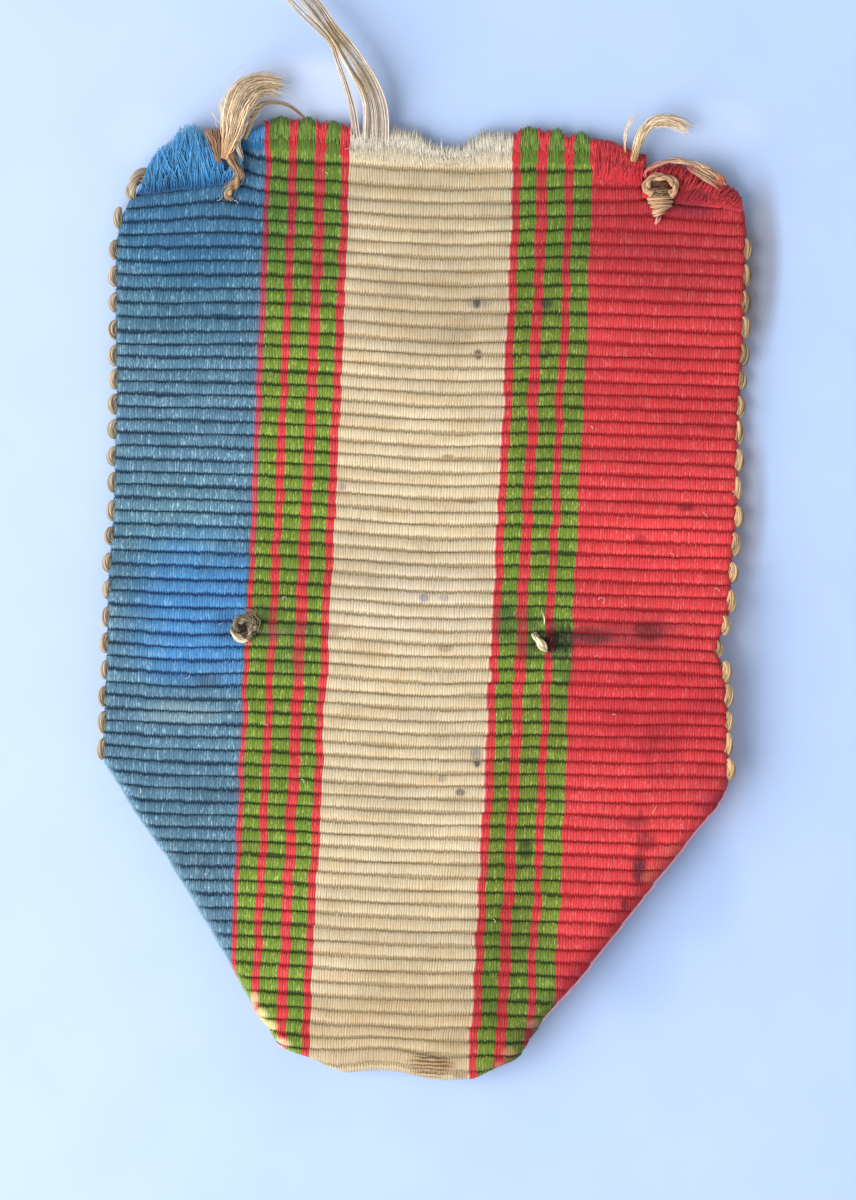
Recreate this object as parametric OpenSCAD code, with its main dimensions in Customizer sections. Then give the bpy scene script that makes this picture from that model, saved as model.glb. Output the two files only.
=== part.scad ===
// A worn medal ribbon of heavy ribbed silk, lying on its back.
// One woven strip runs down the front, turns up behind at the bottom fold, and has its
// corners tucked in between the two layers. Weft loops stand along both selvedges, and
// stitches with frayed thread ends are left from the pin and from the back seam.
// Units are millimetres: X across the ribbon, Y up to its raw end, Z up from the surface.

/* [Ribbon] */
// Width between the two selvedges
ribbon_w = 37; // [34:0.5:40]
// Thickness of the cloth over its ribs
cloth_t = 1.0; // [1:0.05:1.2]
// Distance from one rib to the next
rib_pitch = 0.785; // [0.7:0.005:0.9]
// Depth of the groove between two ribs, on each side
groove_depth = 0.13; // [0.05:0.01:0.2]

/* [Length] */
// Height of the bottom fold below the middle of the ribbon
fold_y = -27.8; // [-29:0.1:-27]
// Where the ribs end and the frayed ends begin
last_rib_y = 25.6; // [25:0.1:26]
// Highest frayed warp ends
raw_end_y = 28.2; // [28.2:0.1:29]
// Where the tail ends behind the front
tail_end_y = -0.6; // [-1:0.1:1]
// Height of the seam that holds the tail
seam_y = -1.8; // [-2.2:0.1:-1.6]

/* [Fold] */
// Room between the layers for the tucked corners
tuck_gap = 0.6; // [0.5:0.05:1]
// Clearance where the front lies on the tail with nothing between them
layer_gap = 0.15; // [0.1:0.05:0.3]
// Size of the bevel along the folded corner edges
fold_bevel = 0.45; // [0.2:0.05:0.6]

/* [Weft loops] */
// Distance between loops, two ribs each
loop_pitch = 1.55; // [1.5:0.01:1.6]
// How far a loop stands out of the selvedge
loop_out = 0.6; // [0.4:0.05:0.7]
// Thickness of the weft cord in a loop
loop_t = 0.56; // [0.4:0.02:0.7]

/* [Threads] */
// Radius of the sewing thread
thread_r = 0.28; // [0.2:0.02:0.35]
// Outer radius of the thread ring at the right pin stitch
eyelet_r = 0.8; // [0.7:0.05:0.9]
// Outer radius of the knots of the back seam
knot_r = 0.78; // [0.6:0.02:0.9]
// Flat sides round a thread
thread_sides = 10; // [8:1:12]

/* [Hidden] */

half_w = ribbon_w / 2;
half_t = cloth_t / 2;
thread_tip_y = 35.5;
thread_tip_r = 0.4;
// The part's origin is under the middle of its whole length, loose thread included
mid_y = (thread_tip_y + thread_tip_r + fold_y) / 2;

// Heights of the middle of the cloth
tail_z = half_t;
doubled_z = tail_z + cloth_t + layer_gap;
tucked_z = tail_z + cloth_t + tuck_gap;

// Middle of the front cloth from the fold to the raw end: [y, height]
front_drape = [
    [-26.4, tucked_z],
    [-15.0, tucked_z],
    [ -8.5, doubled_z],
    [ -1.0, doubled_z],
    [  5.0, half_t + 0.05],
    [  9.0, half_t],
    [ 29.0, half_t]
];

// Half turn of the bottom fold
turn_r = (tucked_z - tail_z) / 2;
turn_y = fold_y + turn_r + half_t;
turn_z = (tucked_z + tail_z) / 2;

// Length along the strip, from the raw end to the end of the tail
fringe_run = raw_end_y - last_rib_y;
front_run = raw_end_y - turn_y;
turn_run = PI * turn_r;
strip_run = front_run + turn_run + tail_end_y - turn_y;
rib_count = floor((strip_run - fringe_run) / rib_pitch);
fringe_t = 0.7;

// Left edge of the lower half, from the selvedge to the fold: [x, y]
left_fold = [
    [-18.5,  -9.2], [-13.2, -17.4], [-10.5, -21.5], [-8.8, -24.5], [-7.9, -25.6],
    [ -7.0, -26.5], [ -5.8, -27.1], [ -4.2, -27.7]
];
// Right edge of the lower half, from the fold to the selvedge: [x, y]
right_fold = [
    [  4.9, -27.6], [  6.0, -26.9], [  6.7, -26.1], [  8.2, -23.9], [10.0, -21.8],
    [ 11.9, -19.3], [ 14.0, -16.4], [ 17.6, -11.8], [ 18.2, -10.8], [18.5,  -9.5]
];
// Right selvedge, drawn in where the seam ends: [x, y]
seam_pull = [[18.5, -3.6], [18.1, -2.6], [17.7, -1.9], [18.2, -1.0], [18.5, 0.2]];
// Cut and frayed upper edge, from the right corner to the left one: [x, y]
raw_edge = [
    [ 18.5,  21.4], [ 18.1,  23.0], [ 17.6,  24.4], [ 17.0,  25.2], [ 16.2,  25.9],
    [ 14.9,  26.4], [ 13.5,  26.3], [ 12.6,  25.9], [ 12.1,  25.7], [ 11.9,  26.7],
    [ 10.6,  27.2], [  9.1,  27.8], [  4.5,  28.2], [  2.5,  27.9], [  2.0,  26.9],
    [  0.1,  27.0], [ -2.2,  27.6], [ -4.9,  27.2], [ -5.2,  27.9], [ -7.5,  28.1],
    [ -9.9,  28.2], [-10.2,  27.7], [-11.3,  26.9], [-11.8,  25.4], [-12.6,  24.4],
    [-17.4,  23.9], [-18.2,  23.4], [-18.5,  22.6]
];
// Depth and spacing of the teeth that the warp ends make along the raw edge
tooth_depth = 0.14;
tooth_pitch = 0.42;

// Tucked corners: the triangle that each corner makes between the layers, inset from the fold
left_tuck = [[-18.2, -9.6], [-1.1, -15.3], [-5.0, -27.0], [-8.5, -24.6]];
right_tuck = [[18.2, -10.0], [1.6, -13.9], [5.2, -27.0], [8.0, -23.8]];
// How far the tucked layer runs into the layers above and below it
tuck_bite = 0.2;

// Blue and red tufts of frayed warp that stand proud at the corners: [x, y]
blue_lock = [[-17.4, 23.4], [-12.5, 23.9], [-12.5, 25.0], [-13.3, 26.5], [-13.9, 27.3],
             [-14.5, 27.6], [-15.4, 27.2], [-16.2, 26.2], [-16.9, 25.3]];
red_lock = [[12.4, 24.6], [18.0, 23.2], [17.5, 24.4], [16.9, 25.2], [16.1, 25.9],
            [14.9, 26.5], [13.5, 26.4], [12.6, 25.9]];
lock_lift = 0.05;
lock_t = cloth_t + 0.3;

// Knots of the back seam, and the needle holes that they sit over
left_knot_x = -10.36;
right_knot_x = 7.1;
right_hole_x = 7.4;
needle_hole_r = 0.28;
right_knot_r = 0.58;
// Gap that keeps a thread just clear of the cloth that it lies on
knot_rest = 0.02;

// Weft loops of each edge: height of the top one, and how many there are
left_loops = [21.7, 20];
right_loops = [20.5, 19];
tail_loop_count = 5;
tail_loop_drop = 1.1;

// Ring and wraps of the right pin stitch
eyelet_at = [12.9, 24.95];
wrap_count = 3;
wrap_step = 0.38;
wrap_r = 0.18;
wrap_w = 0.9;

// Routes of the threads: [x, y, height, radius]
left_stitch_route = [
    [-11.95, 23.3, 1.15, 0.16], [-11.9, 23.7, 1.38, 0.24], [-11.7, 24.3, 1.42, 0.28],
    [-11.65, 24.8, 1.45, 0.30], [-12.1, 25.2, 1.75, 0.32], [-12.7, 25.9, 1.80, 0.36],
    [-13.1, 26.6, 1.75, 0.34], [-13.5, 27.2, 1.55, 0.20]
];
left_tuft_route = [
    [-12.0, 25.6, 2.35, 0.24], [-12.1, 26.4, 2.20, 0.36], [-12.2, 27.3, 1.95, 0.42],
    [-12.1, 28.3, 1.60, 0.46], [-11.7, 29.2, 1.35, 0.52], [-11.0, 29.9, 1.20, 0.60],
    [-10.1, 30.2, 1.10, 0.62], [ -9.2, 30.3, 1.00, 0.50], [ -8.6, 30.2, 0.95, 0.30]
];
right_overcast_route = [
    [12.1, 24.9, 1.55, 0.16], [12.4, 25.6, 1.70, 0.22], [12.9, 26.2, 1.72, 0.26],
    [13.7, 26.6, 1.70, 0.28], [14.9, 26.7, 1.70, 0.28], [16.1, 26.2, 1.68, 0.28],
    [17.1, 25.2, 1.60, 0.24], [17.6, 24.3, 1.40, 0.14]
];
right_tuft_route = [
    [11.6, 26.6, 1.30, 0.18], [11.8, 27.4, 1.45, 0.24], [12.1, 28.1, 1.45, 0.24],
    [12.8, 28.6, 1.30, 0.26], [13.6, 28.8, 1.15, 0.32], [14.5, 28.6, 1.00, 0.20]
];
loose_thread_route = [
    [-4.3, 27.0, 0.95, 0.55], [-4.0, 28.2, 1.30, 0.62], [-3.8, 29.4, 1.70, 0.58],
    [-4.1, 30.9, 2.10, 0.52], [-5.1, 32.3, 2.30, 0.44], [-6.3, 33.4, 2.30, 0.34],
    [-7.4, 34.5, 2.15, 0.36], [-8.5, thread_tip_y, 1.90, thread_tip_r]
];

// Height of the middle of the front cloth at a given y
function drape_step(y, i = 0) =
    i >= len(front_drape) - 2 || y < front_drape[i + 1][0] ? i : drape_step(y, i + 1);
function eased(t) = t * t * (3 - 2 * t);
function front_z(y) =
    let (i = drape_step(y), a = front_drape[i], b = front_drape[i + 1],
         t = max(0, min(1, (y - a[0]) / (b[0] - a[0]))))
    a[1] + (b[1] - a[1]) * eased(t);

// A point of the strip's middle, and the direction of its outer face, at a run along it
function strip_at(run) =
    run < front_run
    ? let (y = raw_end_y - run) [[y, front_z(y)], [0, 1]]
    : run < front_run + turn_run
    ? let (a = 90 + 180 * (run - front_run) / turn_run, out = [cos(a), sin(a)])
      [[turn_y, turn_z] + turn_r * out, out]
    : [[turn_y + run - front_run - turn_run, tail_z], [0, -1]];

// Runs and half thicknesses: plain frayed ends, then three points for each rib
strip_section = concat(
    [[0, fringe_t / 2], [fringe_run * 0.6, fringe_t / 2 + 0.05]],
    [for (k = [0 : rib_count - 1], p = [[0, groove_depth], [0.2, 0], [0.8, 0]])
        [fringe_run + (k + p[0]) * rib_pitch, half_t - p[1]]],
    [[strip_run, half_t - groove_depth]]
);
function strip_side(row, side) =
    let (at = strip_at(row[0])) at[0] + side * row[1] * at[1];
strip_profile = concat(
    [for (row = strip_section) strip_side(row, 1)],
    [for (i = [len(strip_section) - 1 : -1 : 0]) strip_side(strip_section[i], -1)]
);

// The raw edge again, with a tooth for every few warp ends above the last rib
function toothed(a, b) =
    let (n = floor(norm(b - a) / tooth_pitch), run = b - a,
         out = [-run[1], run[0]] / max(norm(run), 0.01))
    [for (k = [0 : max(n, 1) - 1])
        a + run * k / max(n, 1) + (n > 1 && k % 2 == 1 ? -tooth_depth : 0) * out];
frayed_edge = [for (i = [0 : len(raw_edge) - 2]) each toothed(raw_edge[i], raw_edge[i + 1])];
below_fold = fold_y - 1;
outline = concat(
    left_fold, [[-3.4, below_fold], [4.2, below_fold]], right_fold, seam_pull,
    frayed_edge, [raw_edge[len(raw_edge) - 1]]
);

module in_place() {
    translate([0, -mid_y, 0]) children();
}

// A tube through the rows of a route, each row being [x, y, height, radius]
function centre(row) = [row[0], row[1], row[2]];
function unit(v) = v / norm(v);
function heading(route, i) =
    unit(centre(route[min(i + 1, len(route) - 1)]) - centre(route[max(i - 1, 0)]));
function ring_of(route, i) =
    let (along = heading(route, i), side = unit(cross([0, 0, 1], along)),
         up = cross(along, side))
    [for (k = [0 : thread_sides - 1])
        let (a = 360 * k / thread_sides)
        centre(route[i]) + route[i][3] * (cos(a) * side + sin(a) * up)];
module tube(route) {
    n = thread_sides;
    last = (len(route) - 1) * n;
    polyhedron(
        points = [for (i = [0 : len(route) - 1]) each ring_of(route, i)],
        faces = concat(
            [[for (k = [0 : n - 1]) k]],
            [for (i = [0 : len(route) - 2], k = [0 : n - 1])
                let (a = i * n + k, b = i * n + (k + 1) % n) [a, a + n, b + n, b]],
            [[for (k = [n - 1 : -1 : 0]) last + k]]
        )
    );
}

// The folded strip: its side view drawn across the full width, cut to the outline
module strip_layers() {
    translate([-half_w - 1, 0, 0])
        rotate([90, 0, 90])
            linear_extrude(height = ribbon_w + 2)
                polygon(strip_profile);
    for (tuck = [left_tuck, right_tuck])
        translate([0, 0, cloth_t - tuck_bite])
            linear_extrude(height = tuck_gap + 2 * tuck_bite)
                polygon(tuck);
}

// A bar that takes the sharp corner off one long edge, seen along the edge as a square
module edge_bevel(from, to, z) {
    run = to - from;
    translate([from[0], from[1], z])
        rotate([0, 0, atan2(run[1], run[0])])
            rotate([45, 0, 0])
                translate([-1, -fold_bevel, -fold_bevel])
                    cube([norm(run) + 2, 2 * fold_bevel, 2 * fold_bevel]);
}

// The hole that a needle leaves in the seam
module needle_hole(x) {
    translate([x, seam_y, -0.5]) cylinder(r = needle_hole_r, h = 5, $fn = 6);
}

module woven_ribbon() {
    color([0.86, 0.80, 0.66]) in_place() {
        difference() {
            intersection() {
                strip_layers();
                translate([0, 0, -0.5]) linear_extrude(height = 5) polygon(outline);
            }
            for (z = [0, tucked_z + half_t]) {
                edge_bevel(left_fold[0], left_fold[3], z);
                edge_bevel(right_fold[4], right_fold[7], z);
            }
            needle_hole(left_knot_x);
            needle_hole(right_hole_x);
        }
        for (lock = [blue_lock, red_lock])
            translate([0, 0, lock_lift]) linear_extrude(height = lock_t) polygon(lock);
    }
}

// One weft loop: a rounded half disc of cord with its flat against the selvedge
module weft_loop(side) {
    r = loop_pitch * 0.54;
    inset = r - loop_out;
    intersection() {
        translate([-side * inset, 0, 0]) sphere(r = r, $fn = 32);
        translate([side > 0 ? 0 : -r, -loop_pitch * 0.48, -loop_t / 2])
            cube([r, loop_pitch * 0.96, loop_t]);
    }
}

// X of the selvedge at a given y, on the right side drawn in at the seam
function selvedge(y, side) =
    side < 0 ? -half_w : half_w - max(0, 0.75 - 0.6 * abs(y - seam_y));

module loop_row(side, loops) {
    for (k = [0 : loops[1] - 1])
        let (y = loops[0] - k * loop_pitch)
            translate([selvedge(y, side), y, front_z(y)]) weft_loop(side);
}

module tail_loops(side) {
    for (k = [0 : tail_loop_count - 1])
        let (y = tail_end_y - tail_loop_drop - k * loop_pitch)
            translate([selvedge(y, side), y, tail_z]) weft_loop(side);
}

module left_weft_loops() {
    color([0.78, 0.66, 0.48]) in_place() {
        loop_row(-1, left_loops);
        tail_loops(-1);
    }
}

module right_weft_loops() {
    color([0.78, 0.66, 0.48]) in_place() {
        loop_row(1, right_loops);
        tail_loops(1);
    }
}

module left_pin_stitch() {
    color([0.72, 0.58, 0.40]) in_place() tube(left_stitch_route);
}

module left_thread_tuft() {
    color([0.80, 0.67, 0.46]) in_place() tube(left_tuft_route);
}

// A ring of thread lying flat at a given height
module thread_ring(at, z, outer_r, wire_r) {
    translate([at[0], at[1], z + wire_r])
        rotate_extrude($fn = 48)
            translate([outer_r - wire_r, 0]) circle(r = wire_r, $fn = 24);
}

module right_pin_stitch() {
    color([0.76, 0.60, 0.45]) in_place() {
        thread_ring(eyelet_at, lock_lift + lock_t + knot_rest, eyelet_r, thread_r);
        for (k = [0 : wrap_count - 1])
            translate([eyelet_at[0] - wrap_w / 2, eyelet_at[1] - 0.95 - k * wrap_step,
                       cloth_t + knot_rest + wrap_r])
                rotate([0, 90, 0]) cylinder(r = wrap_r, h = wrap_w, $fn = 24);
    }
}

module right_overcast_thread() {
    color([0.80, 0.62, 0.46]) in_place() tube(right_overcast_route);
}

module right_thread_tuft() {
    color([0.76, 0.64, 0.46]) in_place() tube(right_tuft_route);
}

module loose_thread() {
    color([0.82, 0.74, 0.60]) in_place() tube(loose_thread_route);
}

module left_seam_knot() {
    color([0.66, 0.58, 0.47]) in_place()
        thread_ring([left_knot_x, seam_y], front_z(seam_y) + half_t + knot_rest,
                    knot_r, thread_r);
}

module right_seam_knot() {
    color([0.70, 0.62, 0.50]) in_place()
        thread_ring([right_knot_x, seam_y], front_z(seam_y) + half_t + knot_rest,
                    right_knot_r, thread_r * 0.85);
}

woven_ribbon();
left_weft_loops();
right_weft_loops();
left_pin_stitch();
left_thread_tuft();
right_pin_stitch();
right_overcast_thread();
right_thread_tuft();
loose_thread();
left_seam_knot();
right_seam_knot();
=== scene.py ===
"""Looks of a medal ribbon with much wear: ribbed striped silk, weft loops, frayed warp ends and broken
stitches.
"""

import math

import bmesh
import bpy
import numpy as np
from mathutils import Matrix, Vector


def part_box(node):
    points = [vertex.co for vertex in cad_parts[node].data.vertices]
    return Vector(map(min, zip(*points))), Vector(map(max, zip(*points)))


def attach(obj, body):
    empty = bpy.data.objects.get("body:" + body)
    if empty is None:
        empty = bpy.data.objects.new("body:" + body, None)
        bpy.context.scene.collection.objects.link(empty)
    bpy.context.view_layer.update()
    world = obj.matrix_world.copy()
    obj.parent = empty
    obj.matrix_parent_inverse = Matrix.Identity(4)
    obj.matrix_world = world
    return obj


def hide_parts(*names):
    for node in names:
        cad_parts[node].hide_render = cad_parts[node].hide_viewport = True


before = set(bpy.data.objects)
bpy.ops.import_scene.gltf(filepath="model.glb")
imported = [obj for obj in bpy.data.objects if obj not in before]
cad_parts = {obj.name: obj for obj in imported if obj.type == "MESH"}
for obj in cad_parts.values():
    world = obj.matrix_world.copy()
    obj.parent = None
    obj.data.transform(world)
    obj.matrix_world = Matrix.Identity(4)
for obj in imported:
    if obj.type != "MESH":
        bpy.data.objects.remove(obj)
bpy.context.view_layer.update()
ribbon_low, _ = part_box("woven_ribbon")

# Everything is laid out in millimetres on the ribbon's own middle, and place() turns it into metres
MM = 0.001
MIDDLE_Y = 4.05
FOLD_Y = ribbon_low.y / MM + MIDDLE_Y

# Cloth
HALF_T = 0.5
RIB_PITCH = 0.785
RIB_ROUNDING = 0.10
GROOVE_CUT = 0.10
FIRST_GROOVE_Y = 25.55
TOP_Y = FIRST_GROOVE_Y + RIB_PITCH
FRAYED_RIBS = 3
TAIL_END_Y = -0.6
TAIL_Z = HALF_T
DOUBLED_Z = 1.65
TUCKED_Z = 2.1
TURN_R = (TUCKED_Z - TAIL_Z) / 2
TURN_Y = FOLD_Y + TURN_R + HALF_T
TURN_Z = (TUCKED_Z + TAIL_Z) / 2
FRONT_RUN = TOP_Y - TURN_Y
TURN_RUN = math.pi * TURN_R
STRIP_RUN = FRONT_RUN + TURN_RUN + TAIL_END_Y - TURN_Y
CLOTH_W = 37.0
# The cloth's uv layer holds the strip's millimetres over this span
UV_SPAN = 100

# Middle of the front cloth from the fold to the raw end: y, height
FRONT_DRAPE = [(-26.4, TUCKED_Z), (-15.0, TUCKED_Z), (-8.5, DOUBLED_Z), (-1.0, DOUBLED_Z),
               (5.0, HALF_T + 0.05), (9.0, HALF_T), (29.0, HALF_T)]
# Side edges of the front from the bottom fold up, along each tucked corner and then its selvedge: y, x
LEFT_EDGE = [(-27.8, -3.4), (-27.7, -4.2), (-27.1, -5.8), (-26.5, -7.0), (-25.6, -7.9), (-24.5, -8.8),
             (-21.3, -10.75), (-18.0, -12.85), (-15.3, -14.65), (-12.9, -16.45), (-11.0, -17.75),
             (-10.2, -18.3), (-9.6, -18.4), (-3.0, -18.4), (1.0, -18.48), (5.0, -18.35), (12.0, -18.4),
             (16.0, -18.6), (21.0, -18.75), (22.5, -18.5), (24.0, -17.9), (28.0, -17.9)]
RIGHT_EDGE = [(-27.8, 4.0), (-27.6, 4.9), (-26.9, 6.0), (-26.1, 6.7), (-23.9, 8.2), (-21.8, 10.0),
              (-18.7, 12.3), (-16.7, 13.8), (-14.85, 15.25), (-12.7, 16.8), (-11.5, 17.85), (-10.8, 18.25),
              (-9.8, 18.35), (-6.0, 18.2), (-4.0, 18.0), (-3.0, 17.82), (-2.2, 17.48), (-1.4, 17.48),
              (-0.6, 17.74), (0.5, 18.12), (3.0, 18.13), (6.0, 18.38), (12.0, 18.26), (16.0, 18.38),
              (20.0, 18.4), (23.0, 18.32), (24.5, 18.0), (28.0, 18.0)]
EDGES = {-1: LEFT_EDGE, 1: RIGHT_EDGE}
CORNER_TOP_Y = -9.4
TAIL_INSET = 0.3
# How the edges are rolled: radius, angle turned, length of what is tucked in past it
SELVEDGE_ROLL = (0.45, 2.4, 0.0)
TUCKED_ROLL = (0.66, math.pi, 1.2)
# Thickness of the cloth where it has turned over
THIN_CLOTH = 0.3

# Where the grooves lie beside an even spacing: y, shift
GROOVE_DRIFT = [(-27.0, 0.0), (-20.0, 0.05), (-15.5, 0.13), (-13.0, 0.01), (-9.0, -0.12), (-6.0, -0.27),
                (-3.0, -0.34), (0.0, -0.47), (5.0, -0.46), (8.0, -0.54), (12.0, -0.56), (16.0, -0.7),
                (17.7, -0.55), (20.0, -0.46), (22.0, -0.48), (23.5, -0.41), (24.8, -0.3),
                (25.5, -0.07), (26.4, 0.34)]
# How far the stripes lean to the left at the lower end, and the share of it: place across, share
STRIPE_LEAN = 0.57
LEAN_TOP_Y = 18
LEAN_RUN = 41
LEAN_SHARES = [(-18.5, 0.0), (-10.3, 0.55), (-8.5, 0.8), (-5.1, 0.87), (4.4, 1.15), (9.1, 1.0),
               (18.5, 0.0)]
# Places where the cloth is pulled or creased: x, y, half width, half height, shift up the ribbon, dip
PULLS = [(-12.6, 24.3, 2.2, 2.4, 0.3, 0.0), (-12.2, 25.6, 1.2, 1.8, 0.4, 0.0),
         (-18.4, 23.8, 2.2, 2.2, -0.3, 0.0),
         (-10.3, -1.8, 1.3, 1.1, 0.0, 0.2), (7.3, -1.95, 1.1, 1.0, 0.0, 0.22),
         (12.9, 24.0, 1.4, 1.2, 0.22, 0.1), (10.5, 24.2, 2.5, 1.5, 0.12, 0.0),
         (17.9, -1.9, 1.8, 1.4, -0.12, 0.1), (-0.8, -27.3, 2.2, 1.8, 0.38, -0.06),
         (3.0, -27.6, 1.4, 1.4, -0.15, 0.08), (-3.6, -25.0, 1.8, 2.4, -0.12, 0.1),
         (0.6, -24.4, 2.6, 1.2, -0.1, 0.06), (6.2, -22.0, 2.6, 3.0, 0.1, 0.1),
         (-17.0, 18.0, 4.5, 6.0, -0.28, 0.0), (-13.8, -3.5, 3.2, 4.5, -0.22, 0.0),
         (-18.5, -11.5, 2.5, 3.0, 0.2, 0.0), (-9.3, -18.0, 4.0, 7.0, 0.12, 0.0),
         (12.0, 22.0, 7.0, 2.5, 0.12, 0.0), (12.0, 2.0, 8.0, 4.0, -0.1, 0.0),
         (16.8, -10.0, 3.5, 4.5, 0.3, 0.0), (8.5, -11.5, 4.5, 4.5, 0.14, 0.0),
         (-3.5, 23.5, 3.0, 3.0, -0.08, 0.0)]

# Stripes across the ribbon, from the left selvedge: where each one starts, and its colour
STRIPES = [(-18.5, "blue"), (-10.17, "red"), (-9.85, "green"), (-8.75, "red"), (-8.28, "green"),
           (-7.15, "red"), (-6.53, "green"), (-5.72, "red"), (-5.17, "cream"), (4.38, "red"),
           (4.89, "green"), (5.92, "red"), (6.49, "green"), (7.43, "red"), (8.04, "green"), (8.97, "red")]
# The raw end is cut back at both corners, between the selvedge and these places across
LEFT_CORNER_X = -11.5
RIGHT_CORNER_X = 12.2
# Tips of the frayed warp along the raw end: x, y
WARP_TIPS = [(-12.0, 26.6), (-11.3, 27.2), (-10.9, 27.6), (-10.4, 27.75), (-9.9, 28.2), (-7.5, 28.2),
             (-5.2, 27.95), (-4.9, 27.5), (-3.0, 27.8), (-1.2, 27.6), (-0.2, 26.9), (1.4, 26.75),
             (2.0, 27.3), (2.5, 27.8), (4.4, 27.75), (4.9, 28.05), (5.4, 28.12), (7.2, 28.0),
             (7.6, 27.8), (8.5, 27.95), (9.0, 27.7), (10.2, 27.53), (11.0, 27.25), (11.6, 26.98),
             (12.2, 26.6)]
FLUFF_ROOTS = [(-17.5, 23.5), (-16.3, 23.6), (-15.2, 23.8), (-14.0, 23.95), (-12.9, 24.2), (-11.3, 24.3)]
FLUFF_TIPS = [(-16.9, 24.8), (-16.9, 25.3), (-16.4, 26.1), (-15.9, 26.5), (-15.4, 26.9), (-15.1, 27.5),
              (-14.3, 27.65), (-13.8, 27.3), (-13.3, 26.6), (-12.6, 26.2), (-11.5, 26.3)]
LOBE_ROOTS = [(12.15, 24.35), (13.4, 24.1), (15.0, 24.0), (16.9, 23.9), (17.9, 23.7)]
LOBE_TIPS = [(12.4, 26.0), (12.9, 26.35), (13.7, 26.5), (14.4, 26.5), (15.4, 26.15), (16.2, 25.7),
             (17.1, 25.3), (17.7, 24.95), (17.98, 24.5), (17.98, 24.2), (17.9, 24.0)]
# The red corner of the raw end, where the loose warp starts a rib lower
RED_CORNER_X = 9.1
RED_CORNER_ROOTS = [(9.2, 25.3), (10.6, 25.25), (12.0, 25.1)]
RED_CORNER_TIPS = [(9.3, 27.65), (10.2, 27.5), (11.0, 27.22), (11.6, 26.95), (12.15, 26.6)]

# Routes of the threads: x, y, height, radius
LEFT_STITCH = [(-12.5, 26.6, 1.75, 0.30), (-12.3, 26.1, 1.75, 0.29), (-11.95, 25.5, 1.7, 0.26),
               (-11.62, 24.95, 1.6, 0.27), (-11.64, 24.5, 1.5, 0.26), (-11.85, 24.15, 1.42, 0.25),
               (-12.12, 23.85, 1.4, 0.25), (-12.2, 23.55, 1.3, 0.22), (-11.95, 23.35, 1.15, 0.14)]
LEFT_WEDGE = [(-12.78, 25.45, 1.5, 0.12), (-12.9, 26.1, 1.8, 0.28), (-13.05, 26.8, 1.85, 0.40),
              (-13.2, 27.5, 1.8, 0.46)]
LEFT_TUFT = [(-12.5, 25.7, 1.75, 0.14), (-12.3, 26.5, 1.95, 0.34), (-12.1, 27.2, 2.0, 0.5),
             (-12.02, 27.97, 1.95, 0.66), (-11.85, 28.71, 1.85, 0.74), (-11.6, 29.27, 1.7, 0.76),
             (-11.2, 29.8, 1.55, 0.7), (-10.6, 30.12, 1.4, 0.6), (-9.9, 30.2, 1.3, 0.52),
             (-9.1, 30.1, 1.2, 0.5)]
STRAY_ARC = [(-11.35, 26.9, 1.5, 0.1), (-11.1, 27.6, 1.6, 0.13), (-10.8, 28.5, 1.6, 0.15),
             (-10.45, 28.93, 1.55, 0.15), (-9.95, 29.15, 1.5, 0.15), (-9.3, 29.13, 1.45, 0.14),
             (-8.66, 28.9, 1.4, 0.13), (-8.16, 28.55, 1.3, 0.11), (-7.8, 28.2, 1.2, 0.08)]
PALE_STRANDS = [[(-11.6, 26.9, 1.9, 0.12), (-11.35, 27.6, 2.0, 0.14), (-11.35, 28.24, 1.95, 0.14),
                 (-11.15, 28.93, 1.8, 0.12), (-10.8, 29.29, 1.7, 0.1), (-10.3, 29.5, 1.5, 0.08)],
                [(-11.55, 27.2, 1.9, 0.12), (-11.72, 26.55, 1.9, 0.15), (-11.6, 26.1, 1.8, 0.15),
                 (-11.36, 25.55, 1.5, 0.11)]]
RIGHT_OVERCAST = [(12.2, 25.5, 1.2, 0.1), (12.3, 25.85, 1.35, 0.14), (12.9, 26.24, 1.50, 0.16),
                  (13.7, 26.5, 1.50, 0.17), (14.5, 26.48, 1.50, 0.19), (15.3, 26.25, 1.50, 0.23),
                  (16.1, 25.9, 1.50, 0.25), (16.64, 25.53, 1.45, 0.22), (16.95, 25.25, 1.3, 0.16)]
RIGHT_OVERCAST_INNER = [(14.7, 26.15, 1.4, 0.08), (15.1, 25.93, 1.45, 0.12), (15.75, 25.58, 1.45, 0.13),
                        (16.4, 25.2, 1.35, 0.12), (16.75, 25.0, 1.2, 0.1)]
RIGHT_TUFT = [(11.5, 26.4, 1.2, 0.14), (11.65, 27.1, 1.35, 0.18), (11.9, 27.95, 1.45, 0.22),
              (12.42, 28.6, 1.4, 0.25), (13.13, 28.88, 1.3, 0.3), (13.87, 28.78, 1.15, 0.34),
              (14.5, 28.55, 1.05, 0.36), (15.0, 28.3, 0.95, 0.34)]
RIGHT_HAIR = [(11.0, 26.9, 1.1, 0.05), (10.97, 27.5, 1.2, 0.07), (11.05, 28.28, 1.2, 0.09),
              (11.4, 28.95, 1.15, 0.1), (11.75, 29.5, 1.1, 0.1)]
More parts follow.
